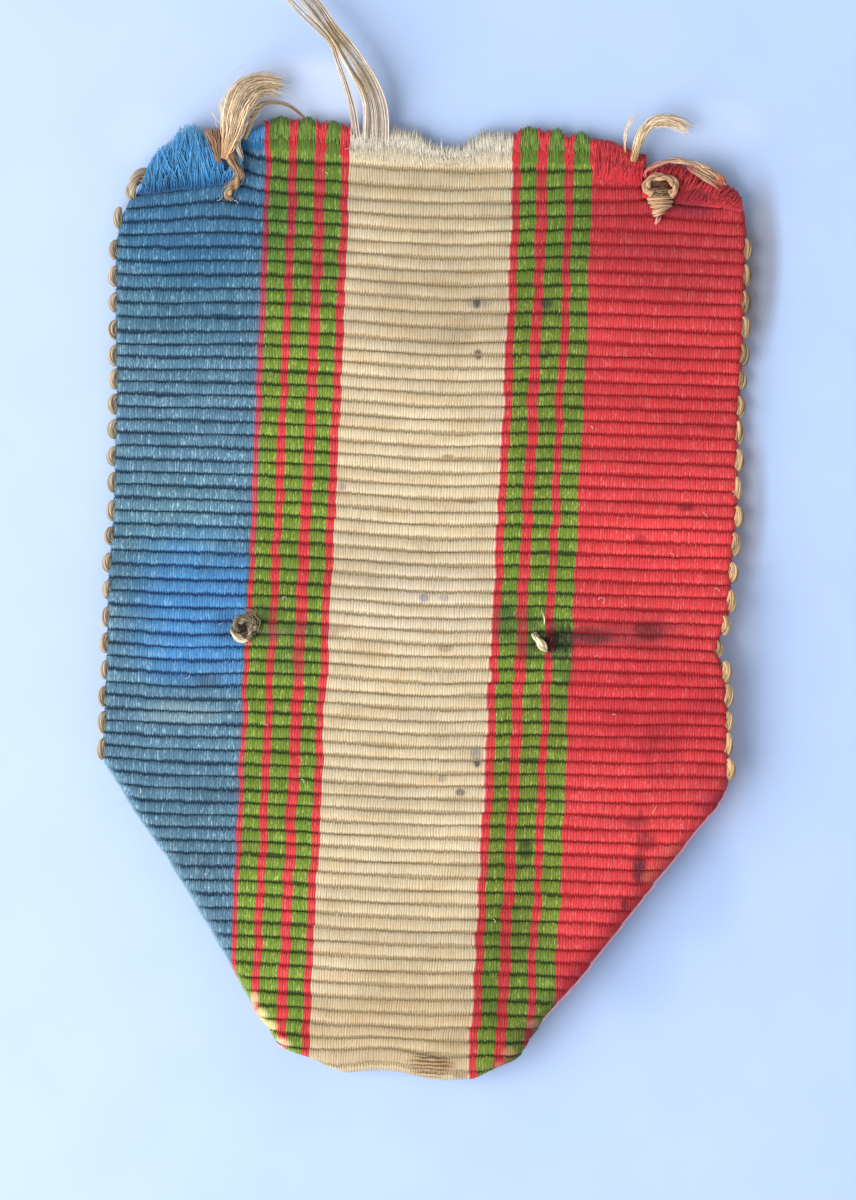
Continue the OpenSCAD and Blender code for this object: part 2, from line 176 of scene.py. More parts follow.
LOOSE_THREAD = [[(-4.75, 27.0, 0.8, 0.2), (-5.12, 28.95, 1.3, 0.2), (-5.62, 30.55, 1.65, 0.15),
                 (-6.1, 31.7, 2.0, 0.14), (-6.45, 32.6, 2.2, 0.15), (-7.15, 33.3, 2.3, 0.2),
                 (-8.2, 34.25, 2.2, 0.2), (-9.5, 35.5, 1.9, 0.2)],
                [(-4.2, 27.0, 0.8, 0.26), (-4.18, 28.85, 1.3, 0.26), (-4.5, 29.95, 1.65, 0.22),
                 (-5.15, 30.95, 2.0, 0.16), (-5.8, 31.95, 2.2, 0.15), (-6.3, 32.75, 2.3, 0.15),
                 (-7.7, 34.45, 2.2, 0.22), (-8.6, 35.45, 1.9, 0.22)],
                [(-3.6, 27.0, 0.8, 0.26), (-3.7, 28.85, 1.3, 0.28), (-4.15, 30.15, 1.65, 0.26),
                 (-4.9, 31.4, 2.0, 0.22), (-5.65, 32.4, 2.2, 0.17), (-6.3, 33.15, 2.3, 0.15),
                 (-7.4, 34.7, 2.2, 0.2), (-8.1, 35.5, 1.9, 0.22)],
                [(-3.1, 27.0, 0.8, 0.2), (-3.2, 28.75, 1.3, 0.2), (-3.7, 30.25, 1.65, 0.18),
                 (-4.65, 31.75, 2.0, 0.15), (-5.55, 32.8, 2.2, 0.14), (-6.2, 33.5, 2.3, 0.14),
                 (-7.1, 34.75, 2.2, 0.15), (-7.75, 35.5, 1.9, 0.16)]]

# Eyelet of thread at the upper right
EYELET_AT = (13.16, 24.95)
EYELET_R = 0.86
EYELET_SQUASH = 0.66
EYELET_THREAD_R = 0.27
# The wraps below it: y, half width
EYELET_WRAPS = [(24.34, 0.74), (24.1, 0.66), (23.86, 0.55), (23.62, 0.42), (23.42, 0.28)]
# A wrap from end to end: share of its half width, height, radius
WRAP_ROWS = [(-1, 1.0, 0.14), (-0.8, 1.3, 0.18), (0, 1.5, 0.2), (0.8, 1.3, 0.18), (1, 1.0, 0.14)]
PINK_STITCH = [(13.16, 23.3, 0.95, 0.12), (13.08, 23.05, 1.08, 0.16), (12.97, 22.8, 0.95, 0.12)]
# Fibres in its hole, with painted shade making them darker above than below
EYELET_DARK = [(12.5, 25.0, 1.35, 0.26), (12.85, 25.14, 1.42, 0.3), (13.3, 25.12, 1.42, 0.3),
               (13.75, 24.95, 1.35, 0.26)]
EYELET_TAN = [(12.45, 24.8, 1.4, 0.16), (12.8, 24.64, 1.5, 0.22), (13.25, 24.58, 1.5, 0.22),
              (13.75, 24.72, 1.4, 0.16)]
# Knots at the ends of the seam
LEFT_KNOT_AT = (-10.36, -1.78)
LEFT_KNOT_R = 0.78
LEFT_FUZZ_AT = (-10.2, -1.55)
# Fibres at the middle of the left knot, dark as painted shade in its hole
LEFT_KNOT_CORE = [(-10.81, -1.88, 2.1, 0.2), (-10.46, -1.83, 2.2, 0.3), (-10.06, -1.78, 2.1, 0.2)]
LEFT_KNOT_CRESCENT = [(-11.05, -1.75, 2.2, 0.1), (-11.0, -2.05, 2.32, 0.16), (-10.78, -2.34, 2.38, 0.18),
                      (-10.42, -2.46, 2.36, 0.18), (-10.05, -2.36, 2.3, 0.14), (-9.86, -2.15, 2.2, 0.08)]
RIGHT_KNOT = [(6.62, -1.45, 2.12, 0.16), (6.77, -1.75, 2.24, 0.27), (7.02, -2.06, 2.3, 0.3),
              (7.26, -2.32, 2.2, 0.22), (7.42, -2.5, 2.08, 0.12)]
RIGHT_KNOT_END = [(7.0, -0.05, 2.18, 0.04), (7.1, -0.3, 2.22, 0.06), (7.2, -0.62, 2.22, 0.07),
                  (7.21, -0.95, 2.1, 0.04)]
# Weft loops: number down the selvedge, y
LEFT_LOOPS = [(0, 22.1), (1, 20.2), (4, 15.5), (8, 9.67), (16, -2.93), (20, -9.1)]
RIGHT_LOOPS = [(0, 21.5), (7, 10.71), (13, 0.81), (15, -1.96), (20, -9.0)]
# Loops of the tail: first one's y, spacing, number
TAIL_LOOPS = (-1.7, 1.55, 5)
# How far the loops stand out of the left and the right side: y, reach
LOOP_OUT = {-1: [(1.0, 0.14), (8.0, 0.26)], 1: [(0.0, 0.13), (20.0, 0.13)]}
# Large loop at the top of the left side: x, y, height, radius
BIG_LOOP = [(-17.82, 23.25, 0.9, 0.24), (-17.92, 23.55, 1.1, 0.36), (-17.82, 23.98, 1.25, 0.44),
            (-17.56, 24.36, 1.3, 0.46), (-17.2, 24.62, 1.3, 0.42), (-16.85, 24.72, 1.2, 0.32),
            (-16.6, 24.7, 1.05, 0.2)]
# Bits of lint on the front: x, y, length, way it points in degrees, how far it curls
LINT = [(14.62, 3.2, 0.55, 60, 2.2), (17.1, 1.5, 0.5, 20, -1.6), (10.5, 0.4, 1.0, 15, 4.0),
        (10.15, -2.65, 0.5, -30, 2.0), (11.6, -6.2, 0.4, 80, 2.5), (13.85, -11.8, 0.75, 48, 0.5),
        (15.6, -12.55, 0.4, 10, 3.0), (-12.55, -12.6, 0.5, 15, 1.5), (-11.95, -16.3, 0.45, 70, 3.5),
        (-16.1, -11.7, 0.5, 60, 1.0), (-8.0, -0.05, 0.75, 40, 5.0), (-11.9, -1.6, 0.5, 5, 0.6),
        (-13.75, -4.8, 0.6, -25, 2.0), (-8.8, -7.5, 0.45, 60, 3.0), (-12.9, 23.25, 0.7, 5, 1.2),
        (-11.9, 23.3, 0.5, 10, -1.5), (-5.5, 26.55, 0.6, -8, 1.2), (-6.4, 24.95, 0.35, 70, 2.0),
        (9.6, 10.6, 0.35, 30, 2.5), (12.9, 15.0, 0.3, 70, 2.0), (-6.6, -10.7, 0.45, 30, 3.0),
        (-2.0, -11.5, 0.5, -20, 1.5), (16.6, 5.6, 0.6, 105, 0.8), (4.9, -18.5, 0.4, 50, 2.0)]

rng = np.random.default_rng(11)


def place(points):
    """Millimetres on the ribbon's middle, as metres in the part's frame."""
    points = np.array(points, float).reshape(-1, 3)
    return (points - (0, MIDDLE_Y, 0)) * MM


def between(rows, value):
    """Straight interpolation in a table of two columns whose first one rises."""
    return np.interp(value, *np.array(rows, float).T)


def eased(t):
    t = np.clip(t, 0, 1)
    return t * t * (3 - 2 * t)


def blend(share, a, b):
    return a + (b - a) * share


# The folded strip

def drape(y):
    """Height of the middle of the front cloth."""
    rows = np.array(FRONT_DRAPE)
    i = np.clip(np.searchsorted(rows[:, 0], y, side="right") - 1, 0, len(rows) - 2)
    t = (y - rows[i, 0]) / (rows[i + 1, 0] - rows[i, 0])
    return blend(eased(t), rows[i, 1], rows[i + 1, 1])


def along_strip(s):
    """The strip's middle, s millimetres down it: y, height, and the y and z of its outward normal."""
    s = np.asarray(s, float)
    turned = np.clip((s - FRONT_RUN) / TURN_R, 0, math.pi)
    past = np.clip(s - FRONT_RUN - TURN_RUN, 0, None)
    front = s < FRONT_RUN
    y = np.where(front, TOP_Y - s, TURN_Y - TURN_R * np.sin(turned) + past)
    z = np.where(front, drape(TOP_Y - s), TURN_Z + TURN_R * np.cos(turned))
    return y, z, -np.sin(turned), np.cos(turned)


def rib_relief(s):
    """How far the cloth's face lies under its rib crests."""
    off = np.abs(2 * ((s / RIB_PITCH) % 1.0) - 1)
    return RIB_ROUNDING * off ** 2 + GROOVE_CUT * off ** 9


def lean(x, y):
    """How far the stripes have leant to the left at a place."""
    return -STRIPE_LEAN * between(LEAN_SHARES, x) * np.clip((LEAN_TOP_Y - y) / LEAN_RUN, 0, 1.1)


def side_edge(s, side):
    """Where the strip turns over at one side, across it, s millimetres down it."""
    y, _, ny, nz = along_strip(s)
    reach = y + HALF_T * ny
    x = sum(between(EDGES[side], reach + off) for off in (-0.3, -0.1, 0.1, 0.3)) / 4
    behind = eased(0.5 - 1.2 * nz)
    x = x - behind * side * TAIL_INSET
    return x - lean(x, reach)


def edge_roll(s):
    """How the strip's edges are rolled s millimetres down it: radius, angle turned, and tucked length."""
    y = TOP_Y - s
    # Tucked in from the top of the corner down, and no longer where the strip turns up behind
    tucked = eased((CORNER_TOP_Y - 0.1 - y) / 1.3) * eased((FRONT_RUN - 0.4 - s) / 2.2)
    return [blend(tucked, plain, folded) for plain, folded in zip(SELVEDGE_ROLL, TUCKED_ROLL)]


def with_pulls(value, x, y, column):
    """A value with one column of PULLS added to it, all of it at the middle of each place."""
    for row in PULLS:
        px, py, w, h = row[:4]
        value = value + row[column] * np.exp(-((x - px) / w) ** 2 - ((y - py) / h) ** 2)
    return value


def shift_along(x, y):
    """How far the front's grooves stray up the ribbon at a place."""
    # The grooves hang lower in the middle, less so further down, and there not at all on the right
    sag = 0.25 * (1 - np.exp(-((x - 0.5) / 4.8) ** 2))
    straight = eased((-4 - y) / 9)
    sag = sag * np.where(x < 0, 1 - 0.6 * straight, 1 - straight)
    shift = with_pulls(between(GROOVE_DRIFT, y) + sag, x, y, 4)
    # Each groove also waves a little in its own way
    rib = np.floor((TOP_Y - y) / RIB_PITCH)
    return shift + 0.03 * np.sin(x * 0.45 + rib * 2.4) + 0.018 * np.sin(x * 1.3 + rib * 1.7)


def dip_at(x, y):
    """How far the front lies under its even height at a place."""
    dip = 0.025 * np.sin(0.5 * x + 0.33 * y) + 0.02 * np.sin(0.23 * x - 0.5 * y + 1)
    return with_pulls(dip, x, y, 5)


def folded_strip(across, s, outer):
    """Millimetre places of points of the folded strip, and how far round a tucked corner each one is."""
    left, right = side_edge(s, -1), side_edge(s, 1)
    side = np.where(across < (left + right) / 2, -1.0, 1.0)
    edge = np.where(side < 0, left, right)
    step = 0.5
    slope = np.where(side < 0, side_edge(s + step, -1) - side_edge(s - step, -1),
                     side_edge(s + step, 1) - side_edge(s - step, 1)) / (2 * step)
    secant = np.sqrt(1 + slope ** 2)
    radius, most, _ = edge_roll(s)
    # What lies past the edge goes round a roll, and the rest of it lies flat behind as a flap
    past = np.clip(side * (across - edge) / secant + radius, 0, None)
    out_u, out_s = side / secant, -side * slope / secant
    foot_u, foot_s = across - out_u * past, s - out_s * past
    turned = np.minimum(past / radius, most)
    flap = np.clip(past - most * radius, 0, None)
    rim = turned * (radius - SELVEDGE_ROLL[0]) / (TUCKED_ROLL[0] - SELVEDGE_ROLL[0])
    y, z, ny, nz = along_strip(foot_s)
    middle = np.stack([foot_u, y, z], axis=-1)
    normal = np.stack([np.zeros_like(y), ny, nz], axis=-1)
    outward = np.stack([out_u, -nz * out_s, ny * out_s], axis=-1)
    sine, cosine = np.sin(turned)[:, None], np.cos(turned)[:, None]
    r = radius[:, None]
    rolled = normal * cosine + outward * sine
    tangent = outward * cosine - normal * sine
    face = middle + normal * HALF_T + outward * r * sine - normal * r * (1 - cosine)
    face = face + tangent * flap[:, None]
    # Where it is turned over, the ribs are flatter and the cloth is thinner
    flattened = np.maximum(0.8 * eased(rim / 0.9), 0.6 * eased(turned / 0.9))
    relief = (rib_relief(s) * (1 - flattened))[:, None]
    thick = blend(eased(turned / 1.2)[:, None], 2 * HALF_T - relief, THIN_CLOTH)
    points = np.where(outer[:, None], face - rolled * relief, face - rolled * thick)
    in_front = np.clip(nz, 0, 1)
    x, y = points[:, 0].copy(), points[:, 1].copy()
    points[:, 0] += lean(x, y)
    points[:, 1] += eased(1 + nz) * shift_along(x, y)
    points[:, 2] = np.maximum(points[:, 2] - in_front * dip_at(x, y), 0.0)
    return points, rim


def strip_rows():
    """Where the strip has a row of vertices: closer together on the front than on the tail."""
    rows = []
    for rib in range(math.ceil(STRIP_RUN / RIB_PITCH)):
        steps = (0, 0.1, 0.35, 0.65, 0.9) if rib * RIB_PITCH < FRONT_RUN + TURN_RUN else (0, 0.2, 0.8)
        rows += [(rib + step) * RIB_PITCH for step in steps]
    return np.array([s for s in rows if s < STRIP_RUN - 0.15] + [STRIP_RUN])


def make_cloth():
    """The whole strip as one closed mesh: laid out flat, given its second face, and then folded."""
    rows = strip_rows()
    inner_columns, edge_columns = 78, 10
    columns = inner_columns + 2 * edge_columns
    radius, most, flap = edge_roll(rows)
    wrap = radius * (most - 1) + flap
    start, end = side_edge(rows, -1), side_edge(rows, 1)
    inward = 0.9
    across = np.concatenate([
        np.linspace(start - wrap, start + inward, edge_columns, endpoint=False, axis=1),
        np.linspace(start + inward, end - inward, inner_columns, axis=1),
        np.linspace(end + wrap, end - inward, edge_columns, endpoint=False, axis=1)[:, ::-1]], axis=1)
    bm = bmesh.new()
    bmesh.ops.create_grid(bm, x_segments=columns - 1, y_segments=len(rows) - 1, size=1)
    for vert in bm.verts:
        column = round((vert.co.x + 1) / 2 * (columns - 1))
        row = round((vert.co.y + 1) / 2 * (len(rows) - 1))
        vert.co = (across[row, column], rows[row], 0)
    frayed = FRAYED_RIBS * RIB_PITCH
    gone = [f for f in bm.faces if f.calc_center_median().y < frayed
            and not LEFT_CORNER_X < f.calc_center_median().x < RIGHT_CORNER_X]
    bmesh.ops.delete(bm, geom=gone, context="FACES")
    second = bmesh.ops.extrude_face_region(bm, geom=bm.faces[:])
    raised = [g for g in second["geom"] if isinstance(g, bmesh.types.BMVert)]
    bmesh.ops.translate(bm, verts=raised, vec=(0, 0, 1))
    mesh = bpy.data.meshes.new("ribbon_cloth")
    bm.to_mesh(mesh)
    bm.free()
    flat = np.empty(len(mesh.vertices) * 3)
    mesh.vertices.foreach_get("co", flat)
    flat = flat.reshape(-1, 3)
    corners = np.empty(len(mesh.loops), int)
    mesh.loops.foreach_get("vertex_index", corners)
    uv = mesh.uv_layers.new(name="strip")
    strip = flat[corners, :2] / UV_SPAN + (0.5, 0)
    uv.data.foreach_set("uv", strip.ravel())
    folded, rim = folded_strip(flat[:, 0], flat[:, 1], flat[:, 2] > 0.5)
    mesh.vertices.foreach_set("co", place(folded).ravel())
    mesh.attributes.new("rim", "FLOAT", "POINT").data.foreach_set("value", rim)
    bm = bmesh.new()
    bm.from_mesh(mesh)
    bmesh.ops.recalc_face_normals(bm, faces=bm.faces)
    bm.to_mesh(mesh)
    bm.free()
    mesh.shade_smooth()
    return mesh


# Strands

def smooth_route(rows, count, stop=1.0):
    """Points of a smooth curve through the rows, up to a share of its length."""
    rows = np.array(rows, float)
    ends = np.vstack([2 * rows[0] - rows[1], rows, 2 * rows[-1] - rows[-2]])
    t = np.linspace(0, (len(rows) - 1) * stop, count)
    i = np.minimum(t.astype(int), len(rows) - 2)
    f = (t - i)[:, None]
    a, b, c, d = ends[i], ends[i + 1], ends[i + 2], ends[i + 3]
    return 0.5 * (2 * b + (c - a) * f + (2 * a - 5 * b + 4 * c - d) * f ** 2
                  + (3 * b - a - 3 * c + d) * f ** 3)


def sides_of(line):
    """Two directions square to a route, at each of its points."""
    way = np.gradient(line, axis=0)
    way /= np.linalg.norm(way, axis=1, keepdims=True)
    sideways = np.cross(way, (0.08, 0.05, 1.0))
    sideways /= np.linalg.norm(sideways, axis=1, keepdims=True)
    return sideways, np.cross(sideways, way)


def make_strands(name, routes):
    """One mesh of strands along routes of x, y, z and radius. Its attributes say how far along each one
    a place is, and give each strand a tint."""
    curve = bpy.data.curves.new(name, "CURVE")
    curve.dimensions = "3D"
    curve.bevel_depth = MM
    curve.bevel_resolution = 0
    for route in routes:
        spline = curve.splines.new("POLY")
        spline.points.add(len(route) - 1)
        co = np.c_[place(route[:, :3]), np.ones(len(route))]
        spline.points.foreach_set("co", co.ravel())
        spline.points.foreach_set("radius", route[:, 3])
    holder = bpy.data.objects.new(name, curve)
    mesh = bpy.data.meshes.new_from_object(holder)
    bpy.data.objects.remove(holder)
    bpy.data.curves.remove(curve)
    sides = 4
    along = np.concatenate([np.repeat(np.linspace(0, 1, len(route)), sides) for route in routes])
    tint = np.concatenate([np.full(len(route) * sides, rng.random()) for route in routes])
    for label, values in (("along", along), ("tint", tint)):
        mesh.attributes.new(label, "FLOAT", "POINT").data.foreach_set("value", values)
    bm = bmesh.new()
    bm.from_mesh(mesh)
    bmesh.ops.holes_fill(bm, edges=[e for e in bm.edges if e.is_boundary], sides=sides)
    bm.to_mesh(mesh)
    bm.free()
    mesh.name = name
    mesh.shade_smooth()
    return mesh


def yarn(rows, count, turns, plies=2, filaments=7, ply_gap=0.46, filament_r=0.2, loose=0.0):
    """Filaments of a twisted thread along a route of x, y, z and radius."""
    line = smooth_route(rows, count)
    sideways, up = sides_of(line[:, :3])
    t = np.linspace(0, 1, count)
    reach = line[:, 3]
    routes = []
    for ply in range(plies):
        a = 2 * math.pi * (ply / plies + turns * t)
        centre = (line[:, :3] + (reach * ply_gap * np.cos(a))[:, None] * sideways
                  + (reach * ply_gap * np.sin(a))[:, None] * up)
        for filament in range(filaments):
            b = 2 * math.pi * (filament / max(filaments - 1, 1) - 1.4 * turns * t + 0.1 * rng.random())
            away = reach * (0.36 if filament else 0.0) * (1 + loose * rng.random() * t)
            points = centre + (away * np.cos(b))[:, None] * sideways + (away * np.sin(b))[:, None] * up
            width = reach * filament_r * rng.uniform(0.8, 1.2)
            routes.append(np.c_[points, width])
    return routes


def tuft(rows, count, radius, points=10, ends=(0.7, 1.0), flare=1.0, waviness=0.05):
    """Loose fibres along a route of x, y, z and reach that flare at its tip."""
    routes = []
    for _ in range(count):
        line = smooth_route(rows, points, rng.uniform(*ends))
        sideways, up = sides_of(line[:, :3])
        t = np.linspace(0, 1, points)
        a, b = np.clip(rng.normal(0, 0.5, 2), -0.95, 0.95)
        phase = rng.uniform(0, 6.3, 3)
        crinkle = 0.5 * waviness * np.sin(17 * t + phase[2])
        across = line[:, 3] * a * (1 + flare * t ** 3) + waviness * np.sin(5 * t + phase[0]) * t + crinkle
        above = line[:, 3] * b + waviness * np.sin(4 * t + phase[1]) * t
        route = line[:, :3] + across[:, None] * sideways + above[:, None] * up
        route[:, 2] = np.maximum(route[:, 2], radius + 0.02)
        routes.append(np.c_[route, radius * rng.uniform(0.7, 1.2) * (1 - 0.6 * t ** 3)])
    return routes


def polyline(rows, share):
    """A point of a row of points, by its share of their number."""
    rows = np.array(rows, float)
    number = share * (len(rows) - 1)
    return np.array([np.interp(number, np.arange(len(rows)), column) for column in rows.T])


def fan(roots, tips, count, radius, heights, lift, locks, mix, curl, lengths, spread):
    """Loose warp in locks, from a line of roots to a line of tips, with the heights of root and tip."""
    routes = []
    t = np.linspace(0, 1, 6)[:, None]
    sway = rng.normal(0, mix, locks)
    lock_bend = rng.normal(0, curl, (locks, 2))
    for _ in range(count):
        lock = rng.integers(locks)
        root = polyline(roots, np.clip((lock + rng.normal(0.5, spread)) / locks, 0, 1))
        root = root + rng.normal(0, 0.03, 2)
        tip = polyline(tips, np.clip((lock + rng.normal(0.5, spread)) / locks + sway[lock], 0, 1))
        tip = root + (tip - root) * rng.uniform(*lengths)
        layer = rng.random()
        start = np.array([*root, blend(layer, *heights[0])])
        end = np.array([*tip, blend(layer, *heights[1])])
        aside = lock_bend[lock] + rng.normal(0, 0.05, 2)
        bend = (start + end) / 2 + np.array([*aside, lift * (0.4 + 0.8 * layer)])
        route = (1 - t) ** 2 * start + 2 * t * (1 - t) * bend + t ** 2 * end
        width = radius * rng.uniform(0.75, 1.2) * (1 - 0.55 * t[:, 0] ** 2)
        routes.append(np.c_[route, width])
    return routes


def ring(at, radius, height, thread_r, turns, start, rise=0.0, squash=1.0):
    """Rows of a round of thread that lies flat."""
    rows = []
    for a in np.linspace(start, start + 2 * math.pi * turns, 14):
        way = (a - start) / (2 * math.pi * turns)
        rows.append((at[0] + radius * math.cos(a), at[1] + squash * radius * math.sin(a),
                     height + rise * way, thread_r))
    return rows


# Shader nodes

class Nodes:
    """A node tree and the kinds of node that the ribbon's materials are made of."""

    def __init__(self, tree):
        self.tree = tree

    def give(self, socket, value):
        if isinstance(value, bpy.types.NodeSocket):
            self.tree.links.new(value, socket)
        else:
            socket.default_value = value

    def add(self, kind, inputs=None, **settings):
        """A new node's outputs. Its inputs are given values or sockets."""
        made = self.tree.nodes.new("ShaderNode" + kind)
        for name, value in settings.items():
            setattr(made, name, value)
        for name, value in (inputs or {}).items():
            self.give(made.inputs[name], value)
        return made.outputs

    def calc(self, operation, *values):
        return self.add("Math", dict(enumerate(values)), operation=operation)[0]

    def times(self, value, *others):
        for other in others:
            value = self.calc("MULTIPLY", value, other)
        return value

    def plus(self, value, *others):
        for other in others:
            value = self.calc("ADD", value, other)
        return value

    def minus(self, a, b):
        return self.calc("SUBTRACT", a, b)

    def off_half(self, value):
        return self.minus(value, 0.5)

    def point(self, x, y, z=0.0):
        return self.add("CombineXYZ", {0: x, 1: y, 2: z})[0]

    def split(self, vector):
        return self.add("SeparateXYZ", {0: vector})

    def vector(self, operation, a, b):
        return self.add("VectorMath", {0: a, 1: b}, operation=operation)

    def scaled(self, vector, x, y):
        return self.add("Mapping", {"Vector": vector, "Scale": (x, y, 1.0)})[0]

    def local(self):
        return self.add("TexCoord")["Object"]

    def ribbon_place(self):
        """Millimetres on the ribbon's own middle, without the height."""
        return self.add("Mapping", {"Vector": self.local(), "Location": (0, MIDDLE_Y, 0),
                                    "Scale": (1 / MM, 1 / MM, 0)})[0]

    def noise(self, vector, scale=1.0, detail=2.0, roughness=0.5):
        return self.add("TexNoise", {"Vector": vector, "Scale": scale, "Detail": detail,
                                     "Roughness": roughness})["Fac"]

    def ranged(self, value, low, high, to_low=0.0, to_high=1.0):
        return self.add("MapRange", {"Value": value, "From Min": low, "From Max": high, "To Min": to_low,
                                     "To Max": to_high}, interpolation_type="SMOOTHSTEP")[0]

    def mixed(self, share, a, b, way="MIX"):
        """A blend of two colours."""
        a, b = (value if isinstance(value, bpy.types.NodeSocket) else (*value, 1.0) for value in (a, b))
        return self.add("Mix", {"Factor": share, 6: a, 7: b}, data_type="RGBA", blend_type=way)[2]

    def toned(self, colour, brightness):
        """A colour made lighter or darker by a value round 1."""
        return self.add("VectorMath", {0: colour, "Scale": brightness}, operation="SCALE")[0]

    def around_one(self, *parts):
        """One plus the sum of values, each times its weight."""
        return self.plus(1.0, *(self.times(value, weight) for value, weight in parts))

    def bump(self, height, strength, distance):
        return self.add("Bump", {"Height": height, "Strength": strength, "Distance": distance})[0]

    def colour_steps(self, value, steps):
        """A ramp without blending: each step is where it starts, from 0 to 1, and its colour."""
        made = self.tree.nodes.new("ShaderNodeValToRGB")
        self.give(made.inputs["Fac"], value)
        ramp = made.color_ramp
        ramp.interpolation = "CONSTANT"
        ramp.elements.remove(ramp.elements[1])
        ramp.elements[0].position = 0.0
        ramp.elements[0].color = (*steps[0][1], 1.0)
        for start, colour in steps[1:]:
            ramp.elements.new(start).color = (*colour, 1.0)
        return made.outputs["Color"]

    def spot_mask(self, place, x, y, w, h, strength=1.0):
        """How much of a soft-edged patch lies on a place of the ribbon."""
        return self.add("Group", {"Place": place, "Centre": (x, y, 0), "Size": (w, h, 1),
                                  "Strength": strength}, node_tree=spot_nodes)["Mask"]

    def patched(self, place, colour, patches):
        """A colour with patches that let less or more of it through."""
        for x, y, w, h, through in patches:
            colour = self.mixed(self.spot_mask(place, x, y, w, h), colour, through, "MULTIPLY")
        return colour


def node_group(name, inputs, outputs):
    """An empty shader group with its named sockets, and its two ends."""
    tree = bpy.data.node_groups.new(name, "ShaderNodeTree")
    for way, sockets in (("INPUT", inputs), ("OUTPUT", outputs)):
        for label, kind in sockets.items():
            tree.interface.new_socket(label, in_out=way, socket_type="NodeSocket" + kind)
    return Nodes(tree), tree.nodes.new("NodeGroupInput").outputs, tree.nodes.new("NodeGroupOutput").inputs


def new_material(name, roughness, sheen, specular):
    """A Principled material, its nodes and its shader. Values that don't vary are set on the shader."""
    material = bpy.data.materials.new(name)
    material.use_nodes = True
    shader = material.node_tree.nodes["Principled BSDF"].inputs
    shader["Roughness"].default_value = roughness
    shader["Sheen Weight"].default_value = sheen
    shader["Sheen Roughness"].default_value = 0.5
    shader["Specular IOR Level"].default_value = specular
    return material, Nodes(material.node_tree), shader


def linear(red, green, blue):
    """A display colour from 0 to 255 as the shader's linear one."""
    return tuple((c / 255 / 12.92) if c < 11 else ((c / 255 + 0.055) / 1.055) ** 2.4
                 for c in (red, green, blue))


# Display colours of the silk on a rib, in its lightest threads, and the painted shade down in a groove
SILK = {
    "blue": ((77, 114, 137), (148, 184, 198), (6, 38, 66)),
    "red": ((199, 55, 60), (222, 100, 98), (148, 14, 28)),
    "green": ((104, 129, 42), (172, 186, 92), (16, 42, 6)),
    "cream": ((201, 184, 153), (214, 200, 172), (160, 139, 104)),
    "pale edge": ((222, 186, 164), (232, 206, 186), (150, 90, 76)),
}
# The same three for the blue that kept its strength, the last one again painted shade in a groove
FRESH_BLUE = ((68, 129, 184), (118, 168, 208), (6, 40, 98))
# Half the width of the pale thread where red meets cream, as a share of the ribbon's width
PALE_THREAD = 0.0015
THREAD_PITCH = 0.155
# How far the threads wander to one side in the mean
MEAN_WANDER = 0.17


def stripe_steps(tone):
    """The stripes as ramp steps, with one pale thread where red meets cream."""
    steps = []
    for (start, colour), (_, before) in zip(STRIPES, [(None, None)] + STRIPES[:-1]):
        share = (start + CLOTH_W / 2) / CLOTH_W
        if {colour, before} == {"cream", "red"}:
            steps.append((share - PALE_THREAD, linear(*SILK["pale edge"][tone])))
            share += PALE_THREAD
        steps.append((max(share, 0.0), linear(*SILK[colour][tone])))
    return steps


